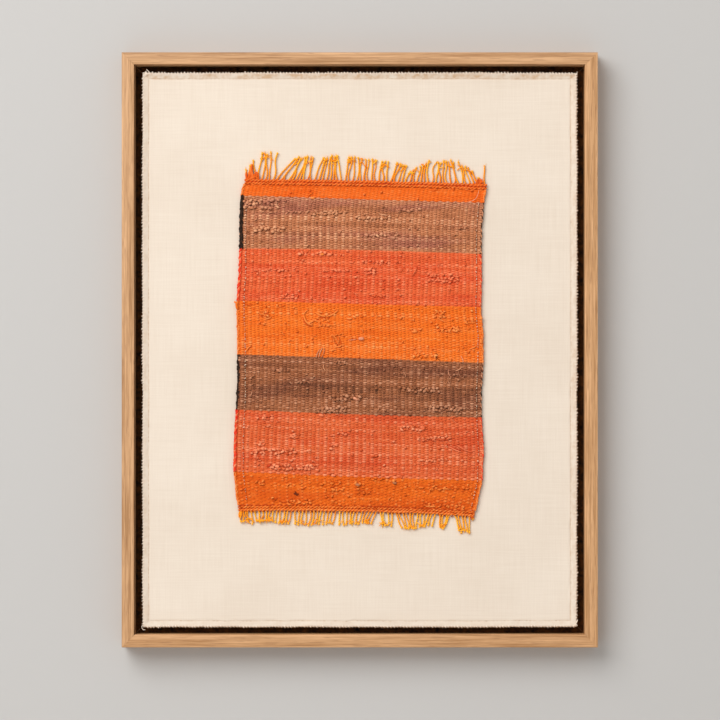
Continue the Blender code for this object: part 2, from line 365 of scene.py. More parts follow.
# %% The wool group
def make_wool_group():
    """Colour and relief of spun wool: fibres that run round the yarn, and uneven dyeing."""
    group, inside, outside = new_group(
        "spun_wool",
        [
            ("Main", "NodeSocketColor", None),
            ("Dark", "NodeSocketColor", None),
            ("Light", "NodeSocketColor", None),
            ("Tone", "NodeSocketFloat", 0.0),
            ("Yarn", "NodeSocketVector", None),
            ("Place", "NodeSocketVector", None),
            ("Unevenness", "NodeSocketFloat", 0.5),
            ("Tint", "NodeSocketColor", None),
            ("Tint Share", "NodeSocketFloat", 0.0),
        ],
        [("Color", "NodeSocketColor"), ("Height", "NodeSocketFloat")],
    )
    bands = noise(group, inside.outputs["Place"], (11.0, 40.0, 75.0), 3.0, 0.6)
    tint_share = math_node(group, "MULTIPLY", share_between(group, bands, 0.42, 0.62),
                           inside.outputs["Tint Share"])
    main = mix_colours(group, tint_share, inside.outputs["Main"], inside.outputs["Tint"])
    fibres = noise(group, inside.outputs["Yarn"], (900.0, 6.0, 1.0), 3.0)
    blotches = noise(group, inside.outputs["Place"], 95.0, 3.0, 0.6)
    streaks = noise(group, inside.outputs["Place"], (60.0, 300.0, 900.0))
    # Each noise lies round 0.5, so two of them less 1 darken as often as they lighten.
    dye = math_node(group, "SUBTRACT", math_node(group, "ADD", blotches, streaks), 1.0)
    dye = math_node(group, "MULTIPLY", dye, inside.outputs["Unevenness"])
    fuzz = math_node(group, "MULTIPLY", math_node(group, "SUBTRACT", fibres, 0.5), 0.5)
    tone = math_node(group, "ADD", math_node(group, "ADD", inside.outputs["Tone"], dye), fuzz)
    colour = main
    for shade, sign in (("Light", 1.0), ("Dark", -1.0)):
        share = math_node(group, "MAXIMUM", math_node(group, "MULTIPLY", tone, sign), 0.0)
        share = math_node(group, "MINIMUM", share, 1.0)
        colour = mix_colours(group, share, colour, inside.outputs[shade])
    group.links.new(colour, outside.inputs["Color"])
    group.links.new(fibres, outside.inputs["Height"])
    return group


WOOL_GROUP = make_wool_group()
print("wool group has", len(WOOL_GROUP.nodes), "nodes")

# %% Wool material
FIBRE_RELIEF = 0.12 * MM
WOOL_ROUGHNESS = 0.9
WOOL_SHEEN = 0.03


def attribute_socket(tree, name):
    node = tree.nodes.new("ShaderNodeAttribute")
    node.attribute_name = name
    return node.outputs["Fac"]


def wool_material(name, main, dark, light, unevenness=0.5, tint=None, tint_share=0.0):
    """Dyed wool in three shades of one colour. The yarn's own tone, which also carries painted
    light and shade, chooses between them, and the tint comes and goes in bands along the wefts."""
    material = new_material(name, WOOL_ROUGHNESS, sheen=WOOL_SHEEN)
    tree = material.node_tree
    shader_of(material).inputs["Specular IOR Level"].default_value = 0.2
    wool = tree.nodes.new("ShaderNodeGroup")
    wool.node_tree = WOOL_GROUP
    for socket, colour in (("Main", main), ("Dark", dark), ("Light", light), ("Tint", tint or main)):
        wool.inputs[socket].default_value = linear(*colour)
    wool.inputs["Unevenness"].default_value = unevenness
    wool.inputs["Tint Share"].default_value = tint_share
    tree.links.new(attribute_socket(tree, "tone"), wool.inputs["Tone"])
    yarn_map = tree.nodes.new("ShaderNodeUVMap")
    yarn_map.uv_map = "yarn"
    tree.links.new(yarn_map.outputs["UV"], wool.inputs["Yarn"])
    tree.links.new(object_place(tree), wool.inputs["Place"])
    return dress(material, wool.outputs["Color"], bump(tree, wool.outputs["Height"], FIBRE_RELIEF))


print("fibre relief:", FIBRE_RELIEF / MM, "mm")

# %% [markdown]
# ## Yarns as tubes
# A kilim has hundreds of wefts, and modelling or even copying them one by one would be slow.
# So its yarns are made as joined meshes from arrays: a path for each yarn, a ring of points
# round each place on it, and quads between the rings. The ends are closed. Each point also
# carries its tone, and the yarn map runs along and round the yarn, so that the finish can
# follow it.


# %% Rings and faces
def tube_rings(paths, radii, sides, reference, heading):
    """Points on the rings: tubes x places x sides x 3. heading fixes the yarn's direction."""
    if heading is None:
        along = np.gradient(paths, axis=1)
    else:
        along = np.broadcast_to(np.array(heading, float), paths.shape)
    along = along / np.linalg.norm(along, axis=2, keepdims=True)
    across = np.cross(along, np.array(reference, float))
    across = across / np.linalg.norm(across, axis=2, keepdims=True)
    outwards = np.cross(along, across)
    turn = 2 * np.pi * (np.arange(sides) + 0.5) / sides
    first = across[:, :, None] * (radii[:, :, None, :1] * np.cos(turn)[:, None])
    second = outwards[:, :, None] * (radii[:, :, None, 1:] * np.sin(turn)[:, None])
    return paths[:, :, None] + first + second


def tube_faces(tubes, places, sides):
    """Corner numbers of the side quads and of the two closed ends of each tube."""
    tube = np.arange(tubes)[:, None, None] * places * sides
    place = np.arange(places - 1)[None, :, None] * sides
    side = np.arange(sides)[None, None, :]
    following = (side + 1) % sides
    first = tube + place
    quads = np.stack([first + side, first + following,
                      first + sides + following, first + sides + side], axis=-1).reshape(-1, 4)
    starts = tube[:, 0] + np.arange(sides)[::-1]
    ends = tube[:, 0] + (places - 1) * sides + np.arange(sides)
    return quads, np.concatenate([starts, ends])


print("a tube with 3 rings of 5 points has", len(tube_faces(1, 3, 5)[0]), "quads")


# %% Yarn mesh
def yarn_mesh(name, paths, radii, tone, sides=5, reference=(0, 1, 0), heading=None, paint=None):
    """A mesh of closed tubes. radii is across and outwards, tone one value for each place,
    and paint the number of the material on each tube."""
    tubes, places = paths.shape[:2]
    rings = tube_rings(paths, radii, sides, reference, heading)
    quads, caps = tube_faces(tubes, places, sides)
    mesh = bpy.data.meshes.new(name)
    mesh.vertices.add(tubes * places * sides)
    mesh.vertices.foreach_set("co", rings.reshape(-1).astype(np.float32))
    corners = np.concatenate([quads.reshape(-1), caps.reshape(-1)])
    sizes = np.concatenate([np.full(len(quads), 4), np.full(len(caps), sides)])
    mesh.loops.add(len(corners))
    mesh.loops.foreach_set("vertex_index", corners.astype(np.int32))
    mesh.polygons.add(len(sizes))
    mesh.polygons.foreach_set("loop_start", (np.cumsum(sizes) - sizes).astype(np.int32))
    mesh.update(calc_edges=True)
    mesh.polygons.foreach_set("use_smooth", np.ones(len(sizes), bool))
    steps = np.linalg.norm(np.diff(paths, axis=1, prepend=paths[:, :1]), axis=2)
    along = np.repeat(np.cumsum(steps, axis=1)[:, :, None], sides, axis=2).reshape(-1)
    around = np.tile(np.arange(sides) / sides, tubes * places)
    u, v = along[corners], around[corners]
    quad_v = v[: quads.size].reshape(-1, 4)
    wrapped = quad_v[:, 1] < quad_v[:, 0]
    quad_v[wrapped, 1:3] = 1.0
    v[: quads.size] = quad_v.reshape(-1)
    uv = mesh.uv_layers.new(name="yarn")
    uv.data.foreach_set("uv", np.stack([u, v], axis=1).reshape(-1).astype(np.float32))
    layer = mesh.attributes.new("tone", "FLOAT", "POINT")
    layer.data.foreach_set("value", np.repeat(tone.reshape(-1), sides).astype(np.float32))
    if paint is not None:
        paint = np.asarray(paint)
        of_quads = np.repeat(paint, (places - 1) * sides)
        of_caps = np.concatenate([paint, paint])
        mesh.polygons.foreach_set("material_index", np.concatenate([of_quads, of_caps]).astype(np.int32))
    return mesh


print("a yarn carries a map and a tone")


# %% Yarn pieces
def yarn_piece(name, slot, materials, paths, thick, tone, stands_for=(), **options):
    """A finished piece of yarn tubes. thick is the radius at each place in millimetres, or
    two radii, across and outwards. stands_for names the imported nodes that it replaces."""
    spots = paths.shape[:2]
    if np.ndim(thick) < 3:
        thick = np.broadcast_to(thick, spots)[:, :, None]
    radii = np.broadcast_to(thick * MM, spots + (2,))
    mesh = yarn_mesh(name, paths, radii, np.broadcast_to(tone, spots), **options)
    for material in materials:
        mesh.materials.append(material)
    piece = bpy.data.objects.new(name, mesh)
    bpy.context.scene.collection.objects.link(piece)
    finish_piece(piece, slot, *stands_for)
    return piece


LATTICE = 97


def cloud(x, z, size, seed):
    """Smooth random values from -1 to 1, in lumps of the given size."""
    lattice = np.random.default_rng(seed).uniform(-1, 1, (LATTICE, LATTICE))
    u, v = np.asarray(x) / size, np.asarray(z) / size
    column, row = np.floor(u).astype(int), np.floor(v).astype(int)
    fx, fz = u - column, v - row
    fx, fz = fx * fx * (3 - 2 * fx), fz * fz * (3 - 2 * fz)

    def at(c, r):
        return lattice[c % LATTICE, r % LATTICE]

    low = at(column, row) * (1 - fx) + at(column + 1, row) * fx
    high = at(column, row + 1) * (1 - fx) + at(column + 1, row + 1) * fx
    return low * (1 - fz) + high * fz


print("clouds repeat after", LATTICE, "lumps")

# %% [markdown]
# ## Where the weave lies
# The fragment isn't a true rectangle: its stripes sag a little to the right and its edges
# waver. The same lines that shape its solid are written here once more, in millimetres from
# the middle of the frame. A point of the weave is then named by how many lines it lies down
# and by its share of the width.

# %% The weave's own net of lines
WARPS = 64
KILIM_BACK, KILIM_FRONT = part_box("kilim")[1].y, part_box("kilim")[0].y
CLOTH_FACE = KILIM_BACK + 0.3 * MM
HEADER_SHARE = 0.3
LAST_HEADER_SHARE = 0.14

# Columns: left edge, right edge, height at the left, in the middle and at the right.
WEFT_LINES = np.array((
    (-96.8, 107.0, 143.7, 142.3, 139.4),
    (-100.3, 104.6, 130.1, 126.8, 123.8),
    (-101.4, 102.5, 107.7, 105.4, 102.2),
    (-101.4, 102.4, 85.3, 83.9, 80.6),
    (-101.9, 102.7, 63.4, 61.3, 58.3),
    (-103.7, 101.9, 41.5, 38.6, 36.0),
    (-103.3, 103.8, 18.8, 15.7, 12.5),
    (-103.1, 103.9, -3.9, -7.2, -11.0),
    (-103.1, 102.4, -27.0, -30.8, -33.9),
    (-104.2, 102.6, -50.1, -54.3, -56.8),
    (-105.9, 104.3, -76.1, -80.6, -83.3),
    (-106.2, 103.2, -102.1, -106.8, -109.7),
    (-102.4, 96.5, -135.3, -135.7, -139.9),
))
LINE_NUMBERS = np.arange(len(WEFT_LINES))
HALF_WIDTH = 103


def on_weave(down, along):
    """Across and up, in millimetres, of points named by line and by share of the width."""
    left, right, z_left, z_middle, z_right = (
        np.interp(down, LINE_NUMBERS, WEFT_LINES[:, column]) for column in range(5))
    bow = 4 * (z_middle - (z_left + z_right) / 2)
    x = left + (right - left) * along
    return x, z_left + (z_right - z_left) * along + bow * along * (1 - along)


def place(x, depth, z):
    """Points of the object, in metres, from millimetres: depth is measured from the wall."""
    return np.stack(np.broadcast_arrays(x * MM, -depth * MM, z * MM + MIDDLE.z), axis=-1)


print("the middle of the weave lies at", np.round(on_weave(6, 0.5), 1), "mm")


# %% Arcs and tables
def width_share(x):
    """Roughly how far across the weave a place lies, from 0 to 1."""
    return np.clip((x + HALF_WIDTH) / (2 * HALF_WIDTH), 0, 1)


def columns(table):
    """The columns of a table, each upright so that it spreads over the places of a yarn."""
    return np.array(table, float).T[:, :, None]


def bowed(start_x, start_z, end_x, end_z, bow, along):
    """Arcs from start to end that swing out sideways by bow, and how high the arch is."""
    arch = np.sin(np.pi * along)
    length = np.hypot(end_x - start_x, end_z - start_z)
    x = start_x + (end_x - start_x) * along + (end_z - start_z) / length * bow * arch
    z = start_z + (end_z - start_z) * along - (end_x - start_x) / length * bow * arch
    return x, z, arch


def turned(x, z, ahead, aside, angle):
    """Points ahead and aside of x and z, turned by the angle."""
    return (x + ahead * np.cos(angle) - aside * np.sin(angle),
            z + ahead * np.sin(angle) + aside * np.cos(angle))


print("the weave is", round(on_weave(0, 0.5)[1] - on_weave(LINE_NUMBERS[-1], 0.5)[1]), "mm high")

# %% [markdown]
# ## Slubs
# Handspun wool is thick and thin, and the weaver left knots and thick places in chains along
# the wefts. Each row of this table is one such chain: where it lies, and how much the yarn
# swells there. A function turns it into a swelling for every place on every weft.

# %% Slub chains
# Columns: left, right, top and bottom edge in millimetres, and strength.
SLUBS = (
    (-98, -67, 127, 119, 1.2),
    (-90, -64, 104, 99, 1.3),
    (-82, -12, 116.6, 115, 0.4),
    (-41, -18, 117.5, 113.5, 0.8),
    (-3, 26, 112.5, 110, 1.1),
    (30, 53, 118.5, 116, 1.2),
    (5, 31, 98, 95.5, 1.0),
    (83, 88, 104, 101, 0.8),
    (-52, -22, 83, 80, 1.2),
    (-90, -60, 69, 65.5, 0.8),
    (-30, -8, 68, 65.5, 0.7),
    (2, 35, 75.5, 72, 1.0),
    (4, 14, 69, 63, 1.0),
    (57, 83, 64.5, 57, 0.8),
    (-36, -20, 33, 30, 0.4),
    (-40, -26, 26, 24, 0.4),
    (-36, -20, 21.5, 19, 0.5),
    (-24, -13, 14, 11, 0.4),
    (64, 72, 33.5, 27, 0.8),
    (42, 52, 18.5, 15, 0.6),
    (64, 86, 20, 15, 0.8),
    (87, 98, 27, 22.5, 0.7),
    (45, 69, -3.5, -6.5, 1.0),
    (-73, -60, -14.5, -18.5, 1.1),
    (-27, -9, -37, -43, 1.5),
    (-34, -11, -47, -53, 1.3),
    (33, 67, -31, -36, 1.1),
    (56, 86, -47, -52, 1.2),
    (-83, -74, -55, -58, 0.9),
    (-80, -75, -62, -65, 0.8),
    (-87, -82, -76.5, -81, 0.9),
    (-89, -54, -82.5, -88, 0.9),
    (-76, -36, -96, -101, 0.9),
    (-25, -11, -70, -72.5, 0.7),
    (-44, -40, -83, -86, 1.0),
    (33, 55, -63, -68, 0.9),
    (47, 77, -72.5, -76.5, 0.8),
    (50, 74, -91, -94, 0.8),
    (-6.5, 10, -118.5, -122, 0.7),
    (-4, 1, -111, -115, 1.2),
    (28, 32, -109.3, -112.6, 1.1),
    (40, 91, -114.7, -117.3, 0.6),
    (54, 76, -129.9, -132.4, 0.6),
    (80, 93, -131, -133.6, 0.6),
    (7, 26, -106.8, -109.3, 0.6),
    (-88, -80, -110, -114.3, 0.8),
    (-33, -20, -110, -112.6, 0.6),
    (-25, -12, -116, -119.4, 0.6),
    (-62, -38, -125, -130, 0.6),
    (10, 22, -88, -91, 0.8),
    (-6, 4, 30, 27, 0.7),
    (8, 26, 47, 44, 0.7),
    (-66, -52, 47, 43, 0.8),
    (-62, -50, -70, -74, 0.7),
    (-62, -38, -26, -28.6, 0.7),
    (-7, 1, -39, -43, 1.3),
    (-25, -19, -78.5, -81, 1.1),
    (-25, -19, -82.5, -85, 1.1),
)
EDGE_SOFTNESS = 1.2


def swelling(x, z):
    """How much the yarn swells at each place, from 0 up to about 1."""
    total = np.zeros(np.broadcast(x, z).shape)
    for left, right, top, bottom, strength in SLUBS:
        across = np.clip(np.minimum(x - left, right - x) / EDGE_SOFTNESS, 0, 1)
        up = np.clip(np.minimum(top - z, z - bottom) / EDGE_SOFTNESS + 0.5, 0, 1)
        total = np.maximum(total, strength * across * up)
    return total


print("slub chains:", len(SLUBS))

# %% [markdown]
# ## The stripes' colours
# Seven plain stripes in five dyes follow one another. The browns are undyed wool and vary the
# most. Each dye has a main, a dark and a light shade, and a tint that comes in bands, because
# a new ball of yarn never quite matches the last one. The table lists the stripes from the top.

# %% Stripe colours
ORANGE = wool_material("orange_wool", (231, 112, 29), (200, 70, 9), (243, 154, 84), 0.5,
                       (223, 98, 20), 0.5)
HEADING_ORANGE = wool_material("heading_orange_wool", (228, 102, 23), (190, 60, 7), (240, 140, 71), 0.5,
                               (221, 89, 16), 0.5)
DEEP_ORANGE = wool_material("deep_orange_wool", (221, 100, 19), (174, 60, 6), (244, 148, 72), 0.6,
                            (200, 72, 8), 0.6)
BROWN = wool_material("brown_wool", (188, 118, 78), (114, 62, 36), (230, 168, 126), 0.9,
                      (168, 100, 80), 0.8)
DARK_BROWN = wool_material("dark_brown_wool", (162, 98, 62), (86, 50, 32), (214, 154, 118), 0.9,
                           (126, 72, 50), 0.8)
RED = wool_material("red_wool", (221, 99, 52), (186, 54, 20), (248, 148, 104), 0.6,
                    (210, 68, 32), 0.6)
DULL_RED = wool_material("dull_red_wool", (213, 98, 50), (176, 54, 20), (243, 152, 110), 0.6,
                         (202, 66, 32), 0.6)
RUST = wool_material("rust_wool", (138, 54, 18), (84, 30, 10), (186, 88, 40), 0.5)
BLACK = wool_material("black_wool", (34, 21, 13), (15, 9, 6), (64, 42, 28), 0.4)
SCARLET = wool_material("scarlet_wool", (222, 44, 22), (168, 26, 12), (240, 90, 50), 0.4)

# Columns: name, first line, last line, pitch in millimetres, material, ribs, roughness, fill.
STRIPES = (
    ("first_orange", HEADER_SHARE, 1, 0.92, HEADING_ORANGE, 0.2, 0.4, 0.56),
    ("first_brown", 1, 3, 0.96, BROWN, 1.0, 1.1, 0.55),
    ("first_red", 3, 5, 0.96, RED, 0.6, 0.75, 0.56),
    ("second_orange", 5, 7, 0.98, ORANGE, 0.6, 1.1, 0.55),
    ("second_brown", 7, 9, 0.96, DARK_BROWN, 1.0, 1.2, 0.55),
    ("second_red", 9, 11, 1.0, DULL_RED, 0.65, 1.0, 0.56),
    ("third_orange", 11, 12 - LAST_HEADER_SHARE, 1.2, DEEP_ORANGE, 0.25, 2.3, 0.44),
)

STRIPE_WOOLS = [stripe[4] for stripe in STRIPES]
BROWN_STRIPES = (1, 4)
print("stripes:", [stripe[0] for stripe in STRIPES])

# %% [markdown]
# ## The wefts
# This is a weft-faced weave: each weft goes over one warp and under the next, and the wefts
# are beaten down so tightly that they hide the warps. Relief painted on a sheet would look
# flat from the side. So a weft is a wave whose crests widen to fill the face, and every second
# row crests on the other warps. Every other warp stands a little higher, which gives the ribs.

# %% One row of wefts
MID_DEPTH = -(KILIM_BACK + KILIM_FRONT) / 2 / MM
WAVE_DEPTH = 0.7
TALL_RIB = 0.42
LOW_RIB = 0.04
PLACES_PER_WARP = 3
SLUB_SHARE = 0.55
THICK_ROWS = 0.14


def weft_places(down, parity, seed, ribs, rough, groove):
    """Path, crest, thickness, slub and tone of a row of wefts for each number in down.
    Each row gets its own thickness and shade, and each crest its own height."""
    rng = np.random.default_rng(seed)
    rows = len(down)
    warp_share = (np.arange(WARPS * PLACES_PER_WARP) + 0.5) / PLACES_PER_WARP
    warp = np.floor(warp_share).astype(int)
    number = np.arange(rows)[:, None]
    down, parity = down[:, None], parity[:, None]
    x, z = on_weave(down, warp_share / WARPS)
    wave = np.cos(np.pi * (warp_share - 0.5) + np.pi * parity)
    crest = np.maximum(wave, 0)
    hump = rng.uniform(0, 1, (rows, WARPS))[:, warp]
    tall = np.broadcast_to(warp % 2 == 1, x.shape)
    roughness = rough * np.clip(0.7 + 0.7 * cloud(x, z * 2.6, 21, seed + 4), 0.15, 1.4)
    slub = SLUB_SHARE * swelling(x, z) * (0.2 + hump)
    thick_row = np.where(rng.uniform(size=(rows, 1)) < THICK_ROWS, 1.0, 0.0)
    thick_row = thick_row * np.clip(0.6 + 1.2 * cloud(x, number * 9.1, 26, seed + 8), 0, 1)
    thick_yarn = 1 + 0.16 * rng.normal(size=(rows, 1)) + 0.24 * cloud(x, number * 7.3, 9, seed + 1)
    thick_yarn = thick_yarn + 0.35 * thick_row
    # The yarn waves over and under the warps. Tall ribs, slubs and thick rows stand further out.
    depth = MID_DEPTH + WAVE_DEPTH * (0.5 + 0.5 * ribs) * wave
    depth = depth + crest * (np.where(tall, TALL_RIB, LOW_RIB) * ribs + 0.8 * slub + 0.22 * thick_row)
    depth = depth + crest * 0.42 * roughness * (hump - 0.5) + 0.1 * cloud(x, z, 14, seed + 2)
    z = z + 0.26 * cloud(x, number * 5.1, 4.5, seed + 3) + 0.3 * crest * slub * (hump - 0.5)
    # The tone changes in bands from row to row and in flecks on the crests. Painted light and shade:
    # the tall ribs are lighter and the low ones darker, and where a stripe's rows leave a groove the
    # troughs between the crests are darker. Slubs and thick rows are lighter on their crests.
    band = 0.24 * cloud(number * 1.0, x * 0.02, 3.4, seed + 5) + 0.12 * rng.normal(size=(rows, 1))
    band = band * (0.7 + 0.6 * ribs)
    painted_rib_light = ribs * np.where(tall, 0.24, -0.14) * (0.75 + 0.6 * cloud(x, z, 24, seed + 6))
    fleck = 0.5 * np.minimum(roughness, 1.8) * (hump - 0.5) * crest
    tone = band + painted_rib_light + fleck + 0.45 * slub + 0.4 * thick_row * crest
    tone = tone + 0.16 * cloud(x, number * 3.3, 8, seed + 7) - 1.6 * groove * (1 - crest)
    return place(x, depth, z), crest, np.clip(thick_yarn, 0.65, 1.6), slub, tone


print("places on each weft:", WARPS * PLACES_PER_WARP)

# %% Wefts
YARN_THICK = 0.42
# The share of a row's height that a crest fills on either side, where no gap shows.
CLOSED_FILL = 0.56
UNEVEN_ROWS = 0.16


def build_stripe(number, name, first, last, pitch, material, ribs, rough, fill):
    """All wefts of one stripe. The crests widen to meet the rows above and below."""
    height = abs(on_weave(first, 0.5)[1] - on_weave(last, 0.5)[1])
    rows = round(height / pitch)
    chance = np.random.default_rng(90 + number).normal(size=rows)
    room = np.clip(1 + UNEVEN_ROWS * chance, 0.6, 1.5)
    down = first + (last - first) * (np.cumsum(room) - room / 2) / room.sum()
    parity = np.arange(rows) % 2
    groove = CLOSED_FILL - fill
    paths, crest, thick, slub, tone = weft_places(down, parity, 100 + 10 * number, ribs, rough, groove)
    step = height * room[:, None] / room.sum()
    tall = step * (0.5 + fill * crest) * (0.8 + 0.2 * thick) * (1 + 0.4 * slub * crest)
    deep = YARN_THICK * thick * (1 + 0.7 * slub * crest) * (1 + 3.2 * groove)
    return yarn_piece("wefts_" + name, "striped_wool", [material], paths,
                      np.stack([tall, deep], axis=-1), tone, heading=(1, 0, 0))


weft_pieces = [build_stripe(number, *stripe) for number, stripe in enumerate(STRIPES)]

# %% [markdown]
# ## Lumps and nubs
# In each slub chain the thick places stand out of the face as beads, one to a rib, with a dark
# yarn under each as painted shadow. Pressing them out of the wefts would need far finer wefts, so
# a bead is a short tube of its own that swells in the middle. Besides the chains, a few hundred
# small nubs lie scattered over the whole weave.

# %% Where the beads lie
LUMP_PITCH = 3.1
LUMP_ROW = 2.5
SCATTERED = 260
BEAD_CHANCE = 0.82


def stripe_number(x, z):
    """The number of the stripe that each point lies in."""
    numbers = []
    for point_x, point_z in zip(x, z):
        share = width_share(point_x)
        heights = on_weave(LINE_NUMBERS.astype(float), share)[1]
        down = np.interp(-point_z, -heights, LINE_NUMBERS)
        numbers.append(sum(down > stripe[2] for stripe in STRIPES[:-1]))
    return np.array(numbers)


def chain_beads(rng):
    """Middles and sizes of the beads in all chains."""
    beads = []
    for left, right, top, bottom, strength in SLUBS:
        rows = max(1, round((top - bottom) / LUMP_ROW))
        for row in range(rows):
            height = top - (row + 0.5) * (top - bottom) / rows
            for x in np.arange(left + 1 + 1.5 * (row % 2), right, LUMP_PITCH):
                if rng.uniform() < BEAD_CHANCE:
                    beads.append((x + rng.normal() * 0.5, height + rng.normal() * 0.45,
                                  rng.uniform(1.1, 2.1), strength * rng.uniform(0.6, 1.3)))
    return np.array(beads)


def scattered_nubs(rng):
    """Middles and sizes of the small nubs between the chains."""
    x = rng.uniform(-97, 97, SCATTERED)
    z = rng.uniform(-132, 137, SCATTERED)
    return np.stack([x, z, rng.uniform(0.7, 1.5, SCATTERED), rng.uniform(0.4, 0.8, SCATTERED)], axis=1)


print("nubs between the chains:", SCATTERED)

# %% Slub beads
LUMP_PLACES = 5


def build_lumps():
    """Beads and nubs, each with a dark yarn tucked under it as painted shadow."""
    rng = np.random.default_rng(200)
    lumps = np.concatenate([chain_beads(rng), scattered_nubs(rng)])
    x, z, reach, size = lumps.T[:, :, None]
    along = np.linspace(-1, 1, LUMP_PLACES)
    angle = 0.4 * rng.normal(size=x.shape)
    bow = 0.35 * rng.normal(size=x.shape) * (1 - along ** 2)
    bead_x, bead_z = turned(x, z, reach * along, bow, angle)
    path = place(bead_x, MID_DEPTH + 0.85 + 0.95 * size * (1 - 0.5 * along ** 2), bead_z)
    painted_shadow_under = place(x + 0.3 + 0.8 * reach * along, MID_DEPTH + 0.75 + 0.2 * size,
                   z - 0.75 - 0.5 * size + bow)
    round_off = np.sqrt(np.maximum(1 - along ** 2, 0.06))
    tall = (0.5 + 0.56 * size * rng.uniform(0.75, 1.25, x.shape)) * round_off
    stripes = stripe_number(x[:, 0], z[:, 0])
    of_brown = np.isin(stripes, BROWN_STRIPES)[:, None]
    # Painted highlight: each bead is lighter in its middle, less so in the browns.
    tone = np.where(of_brown, 0.3, 0.6) * size * (1 - along ** 2) + 0.25 * rng.normal(size=x.shape)
    thin = np.broadcast_to(0.3 * round_off, tall.shape)
    thick = np.concatenate([np.stack([tall, 0.8 * tall], axis=-1), np.stack([thin, thin], axis=-1)])
    # Painted shadow: the yarns under the beads are dark.
    tone = np.concatenate([tone, np.where(of_brown, -1.1, -0.7) + 0 * tone])
    return yarn_piece("slub_beads", "striped_wool", STRIPE_WOOLS, np.concatenate([path, painted_shadow_under]),
                      thick, tone, sides=6, paint=np.tile(stripes, 2))


weft_pieces.append(build_lumps())

# %% [markdown]
# ## The ground of the weave
# Between the humps of the wefts the eye reaches down to the middle of the weave. A thin sheet
# lies there, in the colours of the stripes, so that no light falls through the gaps. It is a
# grid that is moved onto the weave's net of lines, and a modifier gives it thickness, so that
# it is a closed body like the yarns. It is the piece that stands for the kilim's solid.


# %% Sheet helpers
def flat_grid(name, cells_across, cells_up):
    """A square grid of unit size, whose points are then moved to their places."""
    deselect_all()
    bpy.ops.mesh.primitive_grid_add(x_subdivisions=cells_across, y_subdivisions=cells_up, size=1)
    grid = bpy.context.object
    grid.name = name
    return grid


def thicken(sheet, thickness, offset):
    """Give a sheet its thickness, and turn its faces outwards."""
    make_active(sheet)
    bpy.ops.object.modifier_add(type="SOLIDIFY")
    sheet.modifiers[0].thickness = thickness
    sheet.modifiers[0].offset = offset
    bpy.ops.object.modifier_apply(modifier=sheet.modifiers[0].name)
    edit_all(sheet)
    bpy.ops.mesh.normals_make_consistent(inside=False)
    make_active(sheet)


print("sheet helpers ready")

# %% Ground sheet
GROUND_THICK = 0.84 * MM
ROWS_PER_STRIPE = 8


def build_ground():
    """The sheet under the wefts. Its rows of cells are shared out over the stripes."""
    ground = flat_grid("kilim_ground", WARPS, ROWS_PER_STRIPE * len(STRIPES))
    ends = [stripe[1] for stripe in STRIPES] + [STRIPES[-1][2]]
    corners = np.empty(len(ground.data.vertices) * 3)
    ground.data.vertices.foreach_get("co", corners)
    across, up = corners.reshape(-1, 3)[:, 0] + 0.5, corners.reshape(-1, 3)[:, 1] + 0.5
    down = np.interp((1 - up) * len(STRIPES), range(len(ends)), ends)
    x, z = on_weave(down, across)
    ground.data.vertices.foreach_set("co", place(x, MID_DEPTH, z).reshape(-1))
    for wool in STRIPE_WOOLS:
        ground.data.materials.append(wool)
    for face in ground.data.polygons:
        stripe = face.index // (WARPS * ROWS_PER_STRIPE)
        face.material_index = len(STRIPES) - 1 - stripe
    thicken(ground, GROUND_THICK, offset=0)
    finish_piece(ground, "striped_wool", "kilim")
    return ground


kilim_ground = build_ground()

# %% [markdown]
# ## Twined rows
# At each end the warps are gathered by pairs of yarns that twist round each other, half a turn
# for every warp. Two such rows lie at the top and two at the bottom, each with a plain weft
# laid beside it. Each yarn is a helix along the edge line, because a twisted pair drawn on a
# flat band would show no turns from the side.

# %% Twined rows
# The warps and what binds them are a golden yarn, a little paler at the bottom.
GOLD = wool_material("golden_yarn", (250, 156, 28), (226, 102, 16), (255, 190, 52), 0.5)
PALE_GOLD = wool_material("pale_golden_yarn", (255, 172, 32), (234, 116, 18), (255, 206, 66), 0.5)
TWINE_PLACES = 8
TWINE_RADIUS = 0.6

# Columns: line number, side step in millimetres along the height, yarn radius, material.
TWINED_ROWS = (
    (0.0, -0.9, 0.7, HEADING_ORANGE),
    (0.0, -3.4, 0.7, HEADING_ORANGE),
    (12.0, 3.0, 0.72, DEEP_ORANGE),
    (12.0, 0.8, 0.76, ORANGE),
)
# Columns: line number, step along the height, material of the yarns laid in between the rows.
TWINE_BEDS = (
    (0.0, -2.15, HEADING_ORANGE),
    (0.0, -4.5, DEEP_ORANGE),
    (12.0, 1.9, DEEP_ORANGE),
    (12.0, 4.3, DEEP_ORANGE),
)
BED_PLACES = 240
BED_RADII = (0.75, 0.5)


def twined_row(number, line, step, thickness, material):
    """Two yarns that twist round each other along a line of the weave."""
    rng = np.random.default_rng(300 + number)
    count = WARPS * TWINE_PLACES // 2
    share = np.arange(count + 1) / count
    x, z = on_weave(line, share)
    turn = np.pi * WARPS * share + np.array([0.0, np.pi])[:, None] + 1.2 * cloud(x, z, 6, 315 + number)
    wobble = 0.34 * cloud(x, z, 7, 310 + number)
    path = place(x, MID_DEPTH + 0.35 + TWINE_RADIUS * np.cos(turn),
                 z + step + wobble + TWINE_RADIUS * np.sin(turn))
    thick = thickness * (1 + 0.36 * cloud(x, z, 3.4, 320 + number))
    # Painted light and shade: each yarn is lighter where the helix comes forward and darker where it turns
    # back.
    tone = 0.4 * np.cos(turn) - 0.02 + 0.15 * rng.normal(size=turn.shape)
    return yarn_piece(f"twined_row_{number}", "warp_yarn", [material], path, thick, tone, sides=6)


